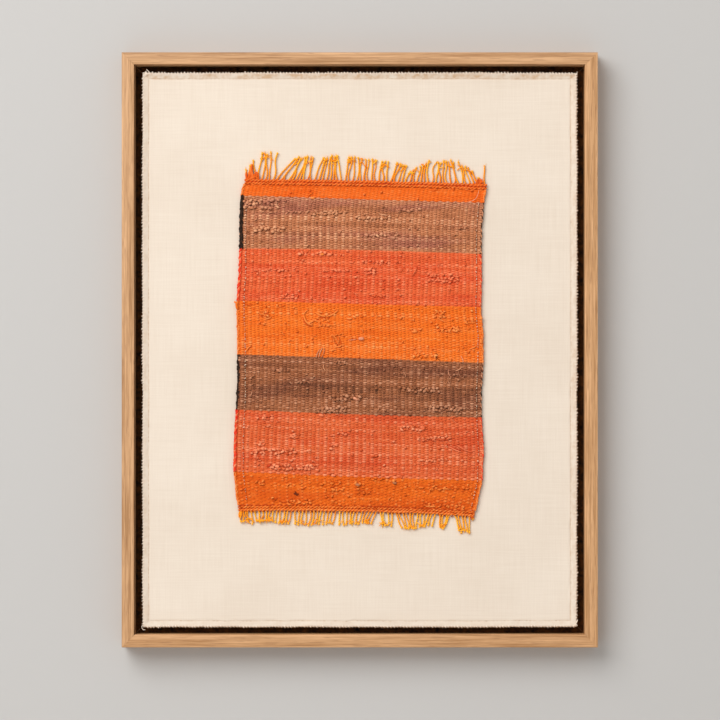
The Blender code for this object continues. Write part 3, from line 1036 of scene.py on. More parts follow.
def twine_bed(number, line, step, material):
    """A plain weft that fills the groove between two twined rows. Its dark tone is painted shade in the
    groove.
    """
    x, z = on_weave(line, np.linspace(0.004, 0.996, BED_PLACES))
    path = place(x, MID_DEPTH + 0.28 + 0.16 * cloud(x, z, 3, 325 + number), z + step)[None]
    tone = -1.0 + 0.3 * cloud(x, z, 5, 328 + number)
    return yarn_piece(f"twine_bed_{number}", "warp_yarn", [material], path,
                      np.array([[BED_RADII]]), tone, sides=6)


twined_pieces = [twined_row(number, *row) for number, row in enumerate(TWINED_ROWS)]
twined_pieces += [twine_bed(number, *bed) for number, bed in enumerate(TWINE_BEDS)]

# %% [markdown]
# ## Selvedges
# At the sides the wefts turn round the outer warps and show as slanted loops: black beside
# the brown stripes at the left, scarlet beside the red ones, and mixed at the right. A plain
# cord would look too even, so each edge is a rope of three yarns that swell and thin out, cut
# where its colour changes.

# %% Selvedges
SELVEDGE_TURN = 6.2
SELVEDGE_RADIUS = 0.8
SELVEDGE_YARN = 0.88
SELVEDGE_STEP = 0.9
SELVEDGE_COLOURS = {
    "left_orange": (ORANGE,) * 3, "left_brown": (BLACK,) * 3, "left_red": (SCARLET, SCARLET, RED),
    "right_orange": (ORANGE,) * 3, "right_brown": (BLACK, DARK_BROWN, BROWN),
    "right_red": (RED, SCARLET, DULL_RED)}
# The rope's width in each stripe, as a share of the widest.
SELVEDGE_WIDTHS = {"left": (0.55, 1.05, 0.8, 0.55, 0.68, 0.85, 0.6),
                   "right": (0.6, 0.5, 0.6, 0.55, 0.5, 0.6, 0.6)}


def selvedge(side, inwards, edge_share):
    """The roped edge of one side. inwards is 1 at the left and -1 at the right."""
    pieces = []
    for number, (name, first, last, *_others) in enumerate(STRIPES):
        width = SELVEDGE_WIDTHS[side][number]
        start, end = on_weave(first, edge_share), on_weave(last, edge_share)
        places = round(abs(start[1] - end[1]) / SELVEDGE_STEP)
        down = np.linspace(first, last, places)
        x, z = on_weave(down, edge_share)
        strand = np.array([0, 1 / 3, 2 / 3])[:, None]
        turn = 2 * np.pi * (z / SELVEDGE_TURN + strand + 0.12 * cloud(z, z * 0 + 7, 6, 340 + number))
        bulge = 0.5 * cloud(x * 0 + 60 * strand, z + 0 * strand, 3.4, 330 + number)
        bulge = bulge + (1.5 * width - 0.2) * inwards
        path = place(x + bulge + width * SELVEDGE_RADIUS * np.sin(turn) * inwards,
                     MID_DEPTH + 0.35 + 0.4 * width + 0.7 * width * SELVEDGE_RADIUS * np.cos(turn), z)
        swell = cloud(z + 50 * strand, z * 3, 3.1, 350 + number)
        thick = width * SELVEDGE_YARN * (1 + 0.55 * swell)
        # Painted light and shade: each yarn of the rope is lighter where it comes forward and darker where
        # it turns back.
        tone = 0.6 * np.cos(turn) + 0.5 * cloud(z + 30 * strand, z * 2, 3, 360 + number)
        colours = SELVEDGE_COLOURS[side + "_" + name.split("_")[1]]
        pieces.append(yarn_piece(f"selvedge_{side}_{name}", "striped_wool", colours, path, thick, tone,
                                 sides=6, paint=(0, 1, 2)))
    return pieces


selvedge_pieces = selvedge("left", 1, 0.0) + selvedge("right", -1, 1.0)

# %% [markdown]
# ## Sewing
# A cream thread holds the kilim to the cloth near both sides, in small stitches that dip
# between the ribs. One long thread would have to find its way between them, so each stitch
# that shows is a short arc of its own. Below each lies a dark arc of the stripe's wool, as
# painted shade of the dent.

# %% Sewing
CREAM_THREAD = wool_material("cream_thread", (224, 190, 158), (196, 134, 96), (242, 220, 198), 0.3)
STITCH_PITCH = 2.3
STITCH_PLACES = 5


def sewing_line(name, top_share, bottom_share, seed):
    """Short cream stitches in a row, each with a dark arc of the weave's wool below it as painted shade."""
    rng = np.random.default_rng(seed)
    first, last = STRIPES[1][1], STRIPES[-1][2]
    length = on_weave(first, 0.5)[1] - on_weave(last, 0.5)[1]
    count = round(length / STITCH_PITCH)
    share = (np.arange(count)[:, None] + 0.5 + 0.2 * rng.normal(size=(count, 1))) / count
    down = first + (last - first) * share
    x, z = on_weave(down, top_share + (bottom_share - top_share) * share)
    along = np.linspace(-1, 1, STITCH_PLACES)
    x = x + 0.35 * cloud(x, z, 5, 371) + along * 0.25 * rng.normal(size=x.shape)
    reach = rng.uniform(0.15, 0.6, x.shape[:1] + (1,))
    depth = MID_DEPTH + 1.15 + 0.35 * (1 - along ** 2) + 0.12 * rng.normal(size=reach.shape)
    thick = rng.uniform(0.2, 0.36, reach.shape)
    stitches = place(x, depth, z + reach * along)
    dent_shades = place(x + 0.1, MID_DEPTH + 0.95 + 0.3 * (1 - along ** 2), z - 1.1 + 0.25 * along)
    # Painted shade: the arcs below the stitches are dark.
    tone = np.repeat([[0.0], [-1.0]], count, axis=0) + rng.uniform(-0.8, 0.5, (2 * count, 1))
    middle = STITCH_PLACES // 2
    paint = np.concatenate([np.zeros(count, int), 1 + stripe_number(x[:, middle], z[:, 0])])
    return yarn_piece(name, "striped_wool", [CREAM_THREAD] + STRIPE_WOOLS,
                      np.concatenate([stitches, dent_shades]), np.concatenate([thick, thick]), tone, paint=paint)


sewing_pieces = [sewing_line("sewing_left", 0.024, 0.04, 372),
                 sewing_line("sewing_right", 0.978, 0.98, 373)]

# %% [markdown]
# ## Loose yarns
# Here and there a yarn end or a small loop stands out of the weave, with a few dark bristles
# and two pale hairs. A curve object for each would work too, but they are few and alike, so a
# table lists them. Each one is an arc between two points, lifted off the weave and bowed to
# one side, in the wool that the row names.

# %% Loose yarns
# Columns: start across and up, end across and up, lift, bow, radius, wool.
LOOSE_YARNS = (
    (-85.4, 33.5, -80, 33, 1.2, 3.4, 0.34, ORANGE),
    (-81, 33, -75.6, 29.5, 1.3, 3, 0.34, ORANGE),
    (-84, 29, -78.5, 27, 1, -2, 0.3, ORANGE),
    (-22.5, 13, -18, 2, 1, 1.6, 0.34, ORANGE),
    (-17.5, 11, -20.5, 3.5, 0.9, -1.2, 0.3, ORANGE),
    (65, 33, 71.5, 29, 1.1, 1.5, 0.34, ORANGE),
    (43.9, 62.1, 48.1, 70.5, 0.9, 0.4, 0.42, RED),
    (-14.9, 68.8, -11.5, 65.4, 0.8, 0.2, 0.36, RED),
    (14, 69, 4.5, 66.5, 0.7, -0.6, 0.4, RED),
    (58, 64, 66, 61.5, 0.8, 0.9, 0.36, RED),
    (75.4, -20.5, 78.4, -31.5, 1.1, 2.4, 0.36, DARK_BROWN),
    (78.8, -21, 76.6, -28, 0.9, 1.6, 0.34, DARK_BROWN),
    (80.2, -30.5, 86.2, -32.4, 1, 1.2, 0.4, DARK_BROWN),
    (82.8, -17.2, 89, -24.6, 1.1, 1.8, 0.36, DARK_BROWN),
    (84.4, -24.8, 88.6, -19.2, 0.9, 1.1, 0.34, DARK_BROWN),
    (-83, -55, -76, -58.4, 0.8, 0.9, 0.4, RED),
    (-86.6, -77.5, -82.4, -80.6, 0.8, 0.8, 0.4, RED),
    (80.2, -79.2, 95, -86.4, 1, 0.7, 0.5, RED),
    (-44, -83.6, -40.6, -86.2, 0.9, 0.8, 0.44, RED),
    (64.2, -2.8, 67.8, -9, 1.1, 1.4, 0.2, BLACK),
    (65.8, -3.2, 64.6, -8.6, 1, 1.2, 0.18, BLACK),
    (28, -112, 30, -113.2, 0.9, 0.2, 0.26, BLACK),
    (-85, -112.2, -82.6, -113.2, 1, 0.4, 0.5, ORANGE),
    (100.3, 134.8, 89.5, 124, 1.6, -3.3, 0.13, CREAM_THREAD),
    (85, -5, 86.8, -11.8, 1.4, -0.8, 0.12, CREAM_THREAD),
)
LOOSE_PLACES = 10


def wools_of(table):
    """The wools that a table names in its last column, and the number of each row's wool."""
    wools = list(dict.fromkeys(row[-1] for row in table))
    return wools, [wools.index(row[-1]) for row in table]


def loose_yarns():
    wools, paint = wools_of(LOOSE_YARNS)
    *ends, lift, bow, radius = columns([row[:-1] for row in LOOSE_YARNS])
    x, z, arch = bowed(*ends, bow, np.linspace(0, 1, LOOSE_PLACES))
    path = place(x, MID_DEPTH + 0.9 + lift * arch ** 0.6, z)
    # Painted highlight: each yarn is lighter where its arch stands highest.
    return yarn_piece("loose_yarns", "striped_wool", wools, path, radius * (0.75 + 0.25 * arch),
                      0.35 * arch, paint=paint, sides=6)


loose_piece = loose_yarns()

# %% [markdown]
# ## Ridges and knots
# Some thick yarns, knots and the dark lines beside them can be told apart in the photograph.
# Chance would never put them where they lie, so their ends were read off it, in its own pixels.
# Short rows are knots. Most thin rows with a low tone are dark lines of painted shadow beside
# the ridges and knots, and they lie a little deeper. All of them lie closer to the weave than
# the loose yarns do, and their ends are rounded.

# %% Table of ridges
PALE_WOOL = wool_material("pale_wool", (226, 150, 114), (190, 100, 68), (244, 186, 156), 0.4)
# Columns: start and end in pixels of the photograph, bow and radius in millimetres, tone, wool.
RIDGES = (
    (303.5, 314, 313, 325.5, 2.4, 0.75, 0.2, ORANGE),
    (302.6, 316.5, 312, 327, 2.2, 0.4, -1, ORANGE),
    (303.5, 315, 308.5, 309.5, -0.8, 0.45, 0.2, ORANGE),
    (306, 323, 314, 320, 0.8, 0.6, 0.3, ORANGE),
    (315, 312, 326, 316.5, 0.8, 0.65, 0.2, ORANGE),
    (326, 316.5, 338, 310, 0.9, 0.6, 0.2, ORANGE),
    (318, 316.5, 330, 317.5, 0.9, 0.35, -1, ORANGE),
    (312, 319, 321, 322, 0.4, 0.5, 0.2, ORANGE),
    (321, 323, 336, 325.5, 0.3, 0.5, 0.1, ORANGE),
    (346, 317.6, 352, 318.2, 0.6, 0.6, 0.4, ORANGE),
    (330.5, 334, 338, 346, 0.8, 0.3, -0.8, ORANGE),
    (331.5, 333.6, 339.5, 345.5, -0.7, 0.42, 0.2, ORANGE),
    (334, 333.5, 341.5, 344.5, -1.2, 0.32, -0.7, ORANGE),
    (334.5, 345.5, 342, 344.6, 1.5, 0.6, 0.3, ORANGE),
    (358.6, 338.6, 363.6, 338.8, 0, 1.25, -0.3, PALE_WOOL),
    (348.5, 340, 357, 338.8, 0.3, 0.3, -0.4, PALE_WOOL),
    (412, 331.6, 417.5, 331, 0.3, 0.75, 0.3, ORANGE),
    (419, 330, 422, 328.6, 0, 0.6, 0.3, ORANGE),
    (434, 315, 440, 311.5, -0.7, 0.45, 0.1, ORANGE),
    (437, 317, 446, 322, 0.5, 0.45, 0.2, ORANGE),
    (454.5, 328.5, 460, 330.5, -0.4, 0.9, 0.3, ORANGE),
    (463.5, 316.5, 468, 322.4, 1.1, 0.45, 0.4, ORANGE),
    (468, 322.4, 477, 321.4, 0.6, 0.4, 0.2, ORANGE),
    (480.8, 317, 481.6, 319, 0, 1.2, 0.5, ORANGE),
    (481, 339, 482, 343.4, 0.2, 1.1, 0.3, ORANGE),
    (469, 349.4, 477, 345.4, 0.4, 0.42, 0.3, ORANGE),
    (259, 313, 263, 316.6, 0.7, 0.45, -0.6, ORANGE),
    (263, 316, 271.5, 316.6, 1.8, 0.5, 0.3, ORANGE),
    (265, 316.4, 268.8, 309.6, 0.3, 0.4, -0.9, ORANGE),
    (245.5, 352, 251, 345.6, -0.7, 0.5, 0.3, ORANGE),
    (246.8, 351, 252, 346.2, -0.5, 0.3, -1.2, ORANGE),
    (234, 301.6, 238.2, 303.2, 0.3, 0.9, 0.1, ORANGE),
    (236.2, 302.8, 237.4, 309.6, 0.3, 1, -0.2, ORANGE),
    (243, 305, 252.5, 304.2, 0.4, 0.36, -1, ORANGE),
    (316, 358.6, 319.6, 349, -0.5, 0.4, 0.1, BROWN),
    (318.6, 358.4, 322.6, 347.4, -0.6, 0.38, 0.3, BROWN),
    (321.4, 357.6, 324.4, 348.4, 0.5, 0.36, -0.2, BROWN),
    (323.6, 364, 325.8, 371.4, 1, 0.42, 0.2, BROWN),
    (319.8, 367, 322.4, 371.6, -0.7, 0.36, -0.3, BROWN),
    (310.6, 197.6, 314.4, 198.2, -0.2, 0.95, 0.5, ORANGE),
    (308, 196.6, 313, 193, -0.9, 0.4, -0.3, ORANGE),
    (364.6, 220.4, 369, 221.4, 0, 0.9, 0.3, BROWN),
    (389, 236.6, 396, 237.4, 0.4, 0.95, 0.1, BROWN),
    (393.4, 233.8, 396.6, 230.8, 0, 0.45, -0.7, BROWN),
    (378.6, 213.4, 388, 215, 0.3, 0.4, 0.8, BROWN),
    (396.4, 209, 401, 211.6, 0.5, 0.85, 0.3, BROWN),
    (299, 251.6, 306.8, 253.6, 0.6, 0.6, -0.9, RED),
    (306, 252.6, 309, 249.4, 0, 0.6, -0.3, RED),
    (320.4, 253.8, 323.6, 254.2, 0, 0.95, 0.5, DEEP_ORANGE),
    (327.6, 254, 331.6, 254.4, 0, 0.9, 0.7, RED),
    (365, 269, 372.4, 266.8, 1.4, 0.55, 0.4, RED),
    (362.6, 271.4, 371, 273, 1, 0.5, 0.2, RED),
    (334, 444.4, 337.4, 445.6, 0, 0.95, 0.5, RED),
    (253.8, 450, 257.4, 451.2, 0, 1.1, 0.4, RED),
    (258.6, 443.4, 264.8, 443, 1.8, 0.45, 0.4, RED),
    (258.8, 444.6, 264.6, 445, -1.2, 0.4, -0.2, RED),
    (266.8, 466.4, 270.8, 464.8, 0.3, 0.9, -0.9, RED),
    (275, 466.2, 278.8, 467, 0, 1.05, 0.7, RED),
    (447, 444, 461, 450.6, 0.8, 0.4, -1, RED),
    (449, 446.4, 462, 452.4, 0.6, 0.5, 0.3, RED),
    (300.4, 490.4, 306.4, 486.8, 0.3, 0.36, -1.1, DEEP_ORANGE),
    (293.4, 493.2, 298.6, 494.8, 0.3, 0.62, -0.8, RUST),
    (295.2, 491.8, 296.8, 496, 0.2, 0.55, -0.6, RUST),
    (329.6, 488, 335.6, 485.2, 0.6, 0.36, -1.1, DEEP_ORANGE),
    (272.6, 502, 277, 497.8, 0.4, 0.36, -0.9, DEEP_ORANGE),
    (278.4, 501.6, 290.6, 502.8, 0.3, 0.3, -1, DEEP_ORANGE),
    (239.8, 491, 245.4, 487.4, 0.4, 0.4, -1, DEEP_ORANGE),
    (355.8, 484.6, 359.8, 485.4, 0, 1.1, -0.2, BROWN),
    (360.4, 490.2, 364, 492.4, 0, 0.8, -0.8, DEEP_ORANGE),
    (392.8, 482.4, 396.4, 483.6, 0, 1, -0.3, BROWN),
    (440, 488, 452, 489, 0.5, 0.45, 0.6, DEEP_ORANGE),
    (424, 505.8, 436, 506.6, 0.6, 0.4, 0.7, DEEP_ORANGE),
    (276.4, 369.8, 279.6, 370.6, 0, 0.95, 0.2, BROWN),
    (353, 397.6, 359, 399.4, 0.3, 1, 0, PALE_WOOL),
    (319.6, 408.4, 323.8, 409.4, 0, 1.05, 0, BROWN),
    (318.8, 415, 323.6, 415.6, 0, 0.9, 0.5, RED),
    (448.4, 369, 452, 378, 1.2, 0.4, 0.1, BROWN),
    (452, 378, 446, 384, 0.8, 0.36, -0.4, BROWN),
    (455.4, 371, 462, 367, 0.6, 0.42, 0.3, BROWN),
)
print("ridges and knots:", len(RIDGES))

# %% Ridges and knots
# The pixel on which the middle of the frame lies.
MIDDLE_COLUMN, MIDDLE_ROW = 359.7, 349.9
RIDGE_SWELL = 1.18


def from_photo(column, row):
    """Across and up, in millimetres, of a point given in pixels of the photograph."""
    return (column - MIDDLE_COLUMN) * PIXEL / MM, (MIDDLE_ROW - row) * PIXEL / MM


def ridges():
    wools, paint = wools_of(RIDGES)
    column, row, last_column, last_row, bow, radius, tone = columns([line[:-1] for line in RIDGES])
    along = np.linspace(0, 1, LOOSE_PLACES)
    x, z, arch = bowed(*from_photo(column, row), *from_photo(last_column, last_row), bow, along)
    path = place(x, MID_DEPTH + 1.0 + 0.55 * radius * arch ** 0.4 + 0.25 * np.minimum(tone, 0), z)
    round_off = np.sqrt(np.maximum(1 - (2 * along - 1) ** 4, 0.1))
    # Painted highlight: each ridge is a little lighter where its arch stands highest.
    return yarn_piece("ridges", "striped_wool", wools, path, RIDGE_SWELL * radius * round_off,
                      tone + 0.15 * arch, paint=paint, sides=6)


ridge_piece = ridges()

# %% [markdown]
# ## Scattered loops
# Between the yarns of the tables the whole weave is rough with small loops. They are too many
# to place by eye and none of them stands out, so chance places them, in each stripe's own wool.
# A seed makes it the same chance each time.

# %% Scattered loops
LOOPS = 130
LOOP_SEED = 380


def scattered_loops():
    rng = np.random.default_rng(LOOP_SEED)
    x, z = rng.uniform(-97, 96, (LOOPS, 1)), rng.uniform(-132, 136, (LOOPS, 1))
    along = np.linspace(-1, 1, LOOSE_PLACES)
    hump = 1 - along ** 2
    reach = rng.uniform(0.8, 2.4, (LOOPS, 1))
    bow = rng.uniform(-1.3, 1.3, (LOOPS, 1))
    angle = 0.7 * rng.normal(size=(LOOPS, 1))
    loop_x, loop_z = turned(x, z, reach * along, bow * hump, angle)
    path = place(loop_x, MID_DEPTH + 0.85 + rng.uniform(0.35, 0.9, (LOOPS, 1)) * hump, loop_z)
    thick = rng.uniform(0.24, 0.42, (LOOPS, 1))
    # Painted highlight: each loop is a little lighter at its top.
    tone = rng.uniform(-0.1, 0.5, (LOOPS, 1)) + 0.1 * hump
    return yarn_piece("scattered_loops", "striped_wool", STRIPE_WOOLS, path, thick, tone, sides=6,
                      paint=stripe_number(x[:, 0], z[:, 0]))


loop_piece = scattered_loops()

# %% [markdown]
# ## The fringes
# The warps leave the twined rows as a fringe. At the top its strands are long, bunched and
# leaning, at the bottom short and nearly straight. Evenly spaced strands would look like a
# comb, so two tables list the bunches, the same as those of the solids: how many strands,
# where the first and the last tip lie across, and how far they stand out.

# %% Fringe tables
# Columns: strands, first tip across, last tip across, first tip out, last tip out.
TOP_BUNCHES = (
    (3, -95.5, -89.5, 8, 15),
    (4, -82.9, -74.9, 22.7, 22),
    (1, -69, -69, 21, 21),
    (10, -54.5, -39.6, 17, 19.8),
    (8, -30.5, -18, 18, 20),
    (3, -9.5, -4.6, 19, 19.3),
    (6, -1, 13.3, 18.5, 18),
    (3, 18.6, 23.6, 16.6, 17.2),
    (4, 31, 39.7, 15.6, 13.4),
    (7, 42.5, 58.6, 8.5, 17.6),
    (8, 64.8, 79, 16.5, 18.4),
    (5, 83, 94.5, 16.8, 11),
    (1, 99.6, 99.6, 5.2, 5.2),
    (1, 105.2, 105.2, 16.8, 16.8),
)
BOTTOM_BUNCHES = (
    (1, -101, -101, 9, 9),
    (3, -97.6, -90.6, 9.5, 11),
    (6, -86.5, -74, 9.4, 9.4),
    (5, -70.6, -60, 10.4, 11.2),
    (5, -54.6, -43, 11, 12.2),
    (7, -39.8, -22.6, 11.6, 10.4),
    (7, -17, -1, 11.4, 10.6),
    (4, 2.2, 9.4, 10, 9.4),
    (4, 18.6, 27, 12.4, 11.2),
    (6, 35.4, 46, 12.4, 13),
    (6, 47.6, 60.6, 12.6, 9),
    (4, 67.4, 71.6, 11.6, 10.4),
    (5, 83.4, 92.6, 13.2, 13.8),
    (1, 95.2, 95.2, 3, 3),
)


def spread_tips(bunches):
    """Across and outward places of the strands' tips, strand by strand."""
    tips = []
    for count, first_across, last_across, first_out, last_out in bunches:
        for share in np.linspace(0, 1, count) if count > 1 else (0,):
            tips.append((first_across + (last_across - first_across) * share,
                         first_out + (last_out - first_out) * share))
    return np.array(tips)


print("strands:", len(spread_tips(TOP_BUNCHES)), "and", len(spread_tips(BOTTOM_BUNCHES)))

# %% [markdown]
# ## Strands of two plies
# Each warp end is two yarns twisted round each other. A twist drawn on one thick tube would
# keep a smooth outline, so each ply is a helix round the strand's middle line. The strands
# drop from the weave to the cloth, lie in two layers and bend a little, and they untwist
# towards the tips. Strands and tips come first, and the frayed ends are then set on the tips.

# %% Fringe strands
STRAND_PLACES = 22
PLY_OFFSET = 0.33
PLY_TURN = 3.8
CLOTH_DEPTH = -CLOTH_FACE / MM
NEAR_LAYER = 0.75
FAR_LAYER = 1.2
# A strand's middle never lies closer to the cloth than this.
STRAND_LIFT = 0.72


def build_fringe(name, line, upwards, bunches, seed, yarn, ply_radius):
    """One fringe. Gives its piece, and the place and heading of each tip in millimetres."""
    rng = np.random.default_rng(seed)
    tips = spread_tips(bunches)
    roots = (np.arange(WARPS) + 0.5) / WARPS
    root_x, root_z = on_weave(line, roots)
    along = np.linspace(0, 1, STRAND_PLACES)
    out = tips[:, 1:] * (1 + 0.04 * rng.normal(size=(WARPS, 1)))
    lean = tips[:, :1] + 0.35 * rng.normal(size=(WARPS, 1)) - root_x[:, None]
    x = root_x[:, None] + lean * along ** rng.uniform(0.8, 1.35, (WARPS, 1))
    bend = rng.normal(size=(WARPS, 2, 1)) * out[:, None] / 16
    x = x + 0.7 * bend[:, 0] * np.sin(np.pi * along) + 0.35 * bend[:, 1] * np.sin(2 * np.pi * along)
    z = root_z[:, None] + upwards * (out * along - 0.6 * (1 - along))
    layer = np.where(np.arange(WARPS)[:, None] % 2, FAR_LAYER, NEAR_LAYER)
    layer = layer + 0.25 * rng.normal(size=(WARPS, 1)) * along
    reached = np.clip(along / 0.45, 0, 1)
    depth = MID_DEPTH + (CLOTH_DEPTH + layer - MID_DEPTH) * reached
    depth = np.maximum(depth, CLOTH_DEPTH + STRAND_LIFT)
    turn = 2 * np.pi * (along * out / PLY_TURN + rng.uniform(0, 1, (WARPS, 1)))
    turn = np.concatenate([turn, turn + np.pi])
    apart = PLY_OFFSET * (1 + 0.5 * along ** 6)
    both = [np.concatenate([values, values]) for values in (x, depth, z)]
    path = place(both[0] + apart * np.cos(turn), both[1] + apart * np.sin(turn), both[2])
    thick = ply_radius * (1 + 0.12 * rng.normal(size=(2 * WARPS, 1))) * (1 - 0.25 * along ** 5)
    shade = 0.12 + 0.22 * rng.normal(size=(WARPS, 1))
    tone = np.concatenate([shade, shade]) - 0.6 * (1 - along) ** 4 + 0.4 * along ** 3
    piece = yarn_piece(name, "warp_yarn", [yarn], path, thick, tone, stands_for=[name])
    tip_points = np.stack([x[:, -1], depth[:, -1], z[:, -1]], axis=1)
    heading = np.stack([x[:, -1] - x[:, -3], 0 * x[:, 0], z[:, -1] - z[:, -3]], axis=1)
    heading = heading / np.linalg.norm(heading, axis=1, keepdims=True)
    return piece, tip_points, heading


# Columns: name, line number, way up or down, bunches, seed, yarn, radius of a ply.
FRINGES = (
    ("fringe_top", 0, 1, TOP_BUNCHES, 401, GOLD, 0.5),
    ("fringe_bottom", 12, -1, BOTTOM_BUNCHES, 402, PALE_GOLD, 0.43),
)
fringes = [build_fringe(*facts) for facts in FRINGES]

# %% [markdown]
# ## Frayed tips and knots
# Every strand ends in a few loose fibres, and most strands are knotted near the tip. Hair
# particles would fray them too, but the exported model would lose them. So each fibre is a
# thin tube that sets off along its strand and strays, and each knot a short fat one.

# %% Frayed tips and knots
TIP_FIBRES = 5
FIBRE_PLACES = 5
KNOT_SHARE = 0.85
KNOT_PLACES = 7
KNOT_REACH = 0.8
KNOT_RADIUS = 1.1
STRAYING = (0.55, 0.2, 0.55)
CRINKLE = (0.2, 0.05, 0.2)


def build_tips(name, points, heading, seed):
    """Fibres that spread out of each tip, and a knot on most of them."""
    rng = np.random.default_rng(seed)
    fibres = len(points) * TIP_FIBRES
    along = np.linspace(0, 1, FIBRE_PLACES)[None, :, None]
    start = np.repeat(points, TIP_FIBRES, axis=0)[:, None]
    way = np.repeat(heading, TIP_FIBRES, axis=0)[:, None] + rng.normal(size=(fibres, 1, 3)) * STRAYING
    reach = rng.uniform(0.5, 1.5, (fibres, 1, 1))
    spots = start + way * along * reach + rng.normal(size=start.shape) * CRINKLE
    spots[:, :, 1] = np.maximum(spots[:, :, 1], CLOTH_DEPTH + 0.3)
    path = place(spots[:, :, 0], spots[:, :, 1], spots[:, :, 2])
    tone = rng.uniform(0, 0.8, (fibres, 1))
    pieces = [yarn_piece(name + "_fibres", "warp_yarn", [GOLD], path, 0.16 - 0.08 * along, tone, sides=4)]
    tied = points[rng.uniform(size=len(points)) < KNOT_SHARE]
    x, depth, z = tied.T[:, :, None]
    swell = np.linspace(-1, 1, KNOT_PLACES)
    knot_x, knot_z = turned(x, z, KNOT_REACH * swell, 0, rng.uniform(0, np.pi, x.shape))
    thick = KNOT_RADIUS * np.sqrt(np.maximum(1 - swell ** 2, 0.12)) * rng.uniform(0.75, 1.2, x.shape)
    path = place(knot_x, depth + 0.1, knot_z)
    return pieces + [yarn_piece(name + "_knots", "warp_yarn", [GOLD], path, thick, 0.7, sides=8)]


print("fibres on each tip:", TIP_FIBRES)

# %% [markdown]
# ## Wound bunches and painted root shadows
# Yarn ends are wound loosely round the bunches, a little short of their tips, and tie them
# together to the eye. At the bottom a short dark yarn lies between every two warps, where they
# leave the last row, as painted shadow. Both are short arcs, placed by chance along the bunches
# and the edge.

# %% Wound bunches and painted root shadows
WRAPS = 5
WRAP_PLACES = 11
FEWEST_WOUND = 3
ROOT_PLACES = 5


def wound_bunches(name, line, upwards, bunches, seed):
    """Yarn ends round the tips of each bunch that has strands enough."""
    rng = np.random.default_rng(seed)
    along = np.linspace(-1, 1, WRAP_PLACES)
    hump = 1 - along ** 2
    paths = []
    for count, first_across, last_across, first_out, last_out in bunches:
        if count < FEWEST_WOUND:
            continue
        middle = rng.uniform(0, 1, (WRAPS, 1))
        x = first_across + (last_across - first_across) * middle
        edge = on_weave(line, width_share(x))[1]
        out = (first_out + (last_out - first_out) * middle) * rng.uniform(0.72, 0.98, (WRAPS, 1))
        reach, angle = rng.uniform(1.2, 3.0, (WRAPS, 1)), rng.uniform(-0.9, 0.9, (WRAPS, 1))
        bow = rng.uniform(-1.2, 1.2, (WRAPS, 1)) * hump
        wrap_x, wrap_z = turned(x, edge + upwards * out, reach * along, bow, angle)
        paths.append(place(wrap_x, CLOTH_DEPTH + 0.9 + 1.1 * hump, wrap_z))
    path = np.concatenate(paths)
    thick = rng.uniform(0.3, 0.55, (len(path), 1))
    tone = rng.uniform(-0.5, 0.8, (len(path), 1))
    return yarn_piece(name, "warp_yarn", [GOLD], path, thick, tone, sides=6)


def build_root_shadows(name, line, upwards, seed):
    """Short dark yarns where the warps leave the last row, one between every two strands, as painted
    shadow.
    """
    rng = np.random.default_rng(seed)
    x, z = on_weave(line, np.arange(1, WARPS)[:, None] / WARPS)
    along = np.linspace(-1, 1, ROOT_PLACES)
    path = place(x + 0.2 * rng.normal(size=x.shape) + 0.25 * along, CLOTH_DEPTH + 1.3,
                 z + upwards * (1.1 + 0.5 * along) + 0.2 * rng.normal(size=x.shape))
    thick = rng.uniform(0.35, 0.8, x.shape) * np.sqrt(1 - 0.8 * along ** 2)
    tone = -1.1 + 0.3 * rng.normal(size=x.shape)
    return yarn_piece(name, "warp_yarn", [DEEP_ORANGE], path, thick, tone)


print("wraps round each bunch:", WRAPS)

# %% [markdown]
# ## Corner tufts
# At the corners of the weave short thick ends of the heading yarn stand in a tangle. They are
# fatter than the fringe and have no twist that shows. A table gives each tuft its foot, its tip
# and its number of yarns, and chance spreads the yarns between them.

# %% Corner tufts
TUFT_PLACES = 9
# Columns: foot from, foot to, foot up, tip across, tip up, spread, yarns, radius, wool.
TUFTS = (
    (-97, -92, 141.5, -95.8, 149.6, 0.5, 6, 0.66, HEADING_ORANGE),
    (-95, -87, 142, -91.4, 156.2, 1, 16, 0.78, HEADING_ORANGE),
    (-91, -85, 142, -88, 150, 1.3, 9, 0.66, HEADING_ORANGE),
    (-95.5, -92, 143, -86.5, 148.5, 1, 5, 0.6, HEADING_ORANGE),
    (97, 101, 139.5, 99, 145.5, 1.2, 8, 0.62, HEADING_ORANGE),
    (100, 104, 139, 102.6, 144, 1.3, 7, 0.6, HEADING_ORANGE),
    (-101.5, -99, -134.5, -100.4, -143, 0.7, 4, 0.5, GOLD),
    (-97.5, -95, -135, -96.4, -141, 0.8, 3, 0.5, GOLD),
    (-87.5, -86.5, -143.4, -79.5, -143.9, 0.7, 6, 0.6, GOLD),
    (-78.5, -77.8, -143.2, -73.6, -143.6, 0.5, 4, 0.55, GOLD),
    (92.5, 96, -138.5, 94, -143, 1, 5, 0.55, HEADING_ORANGE),
)


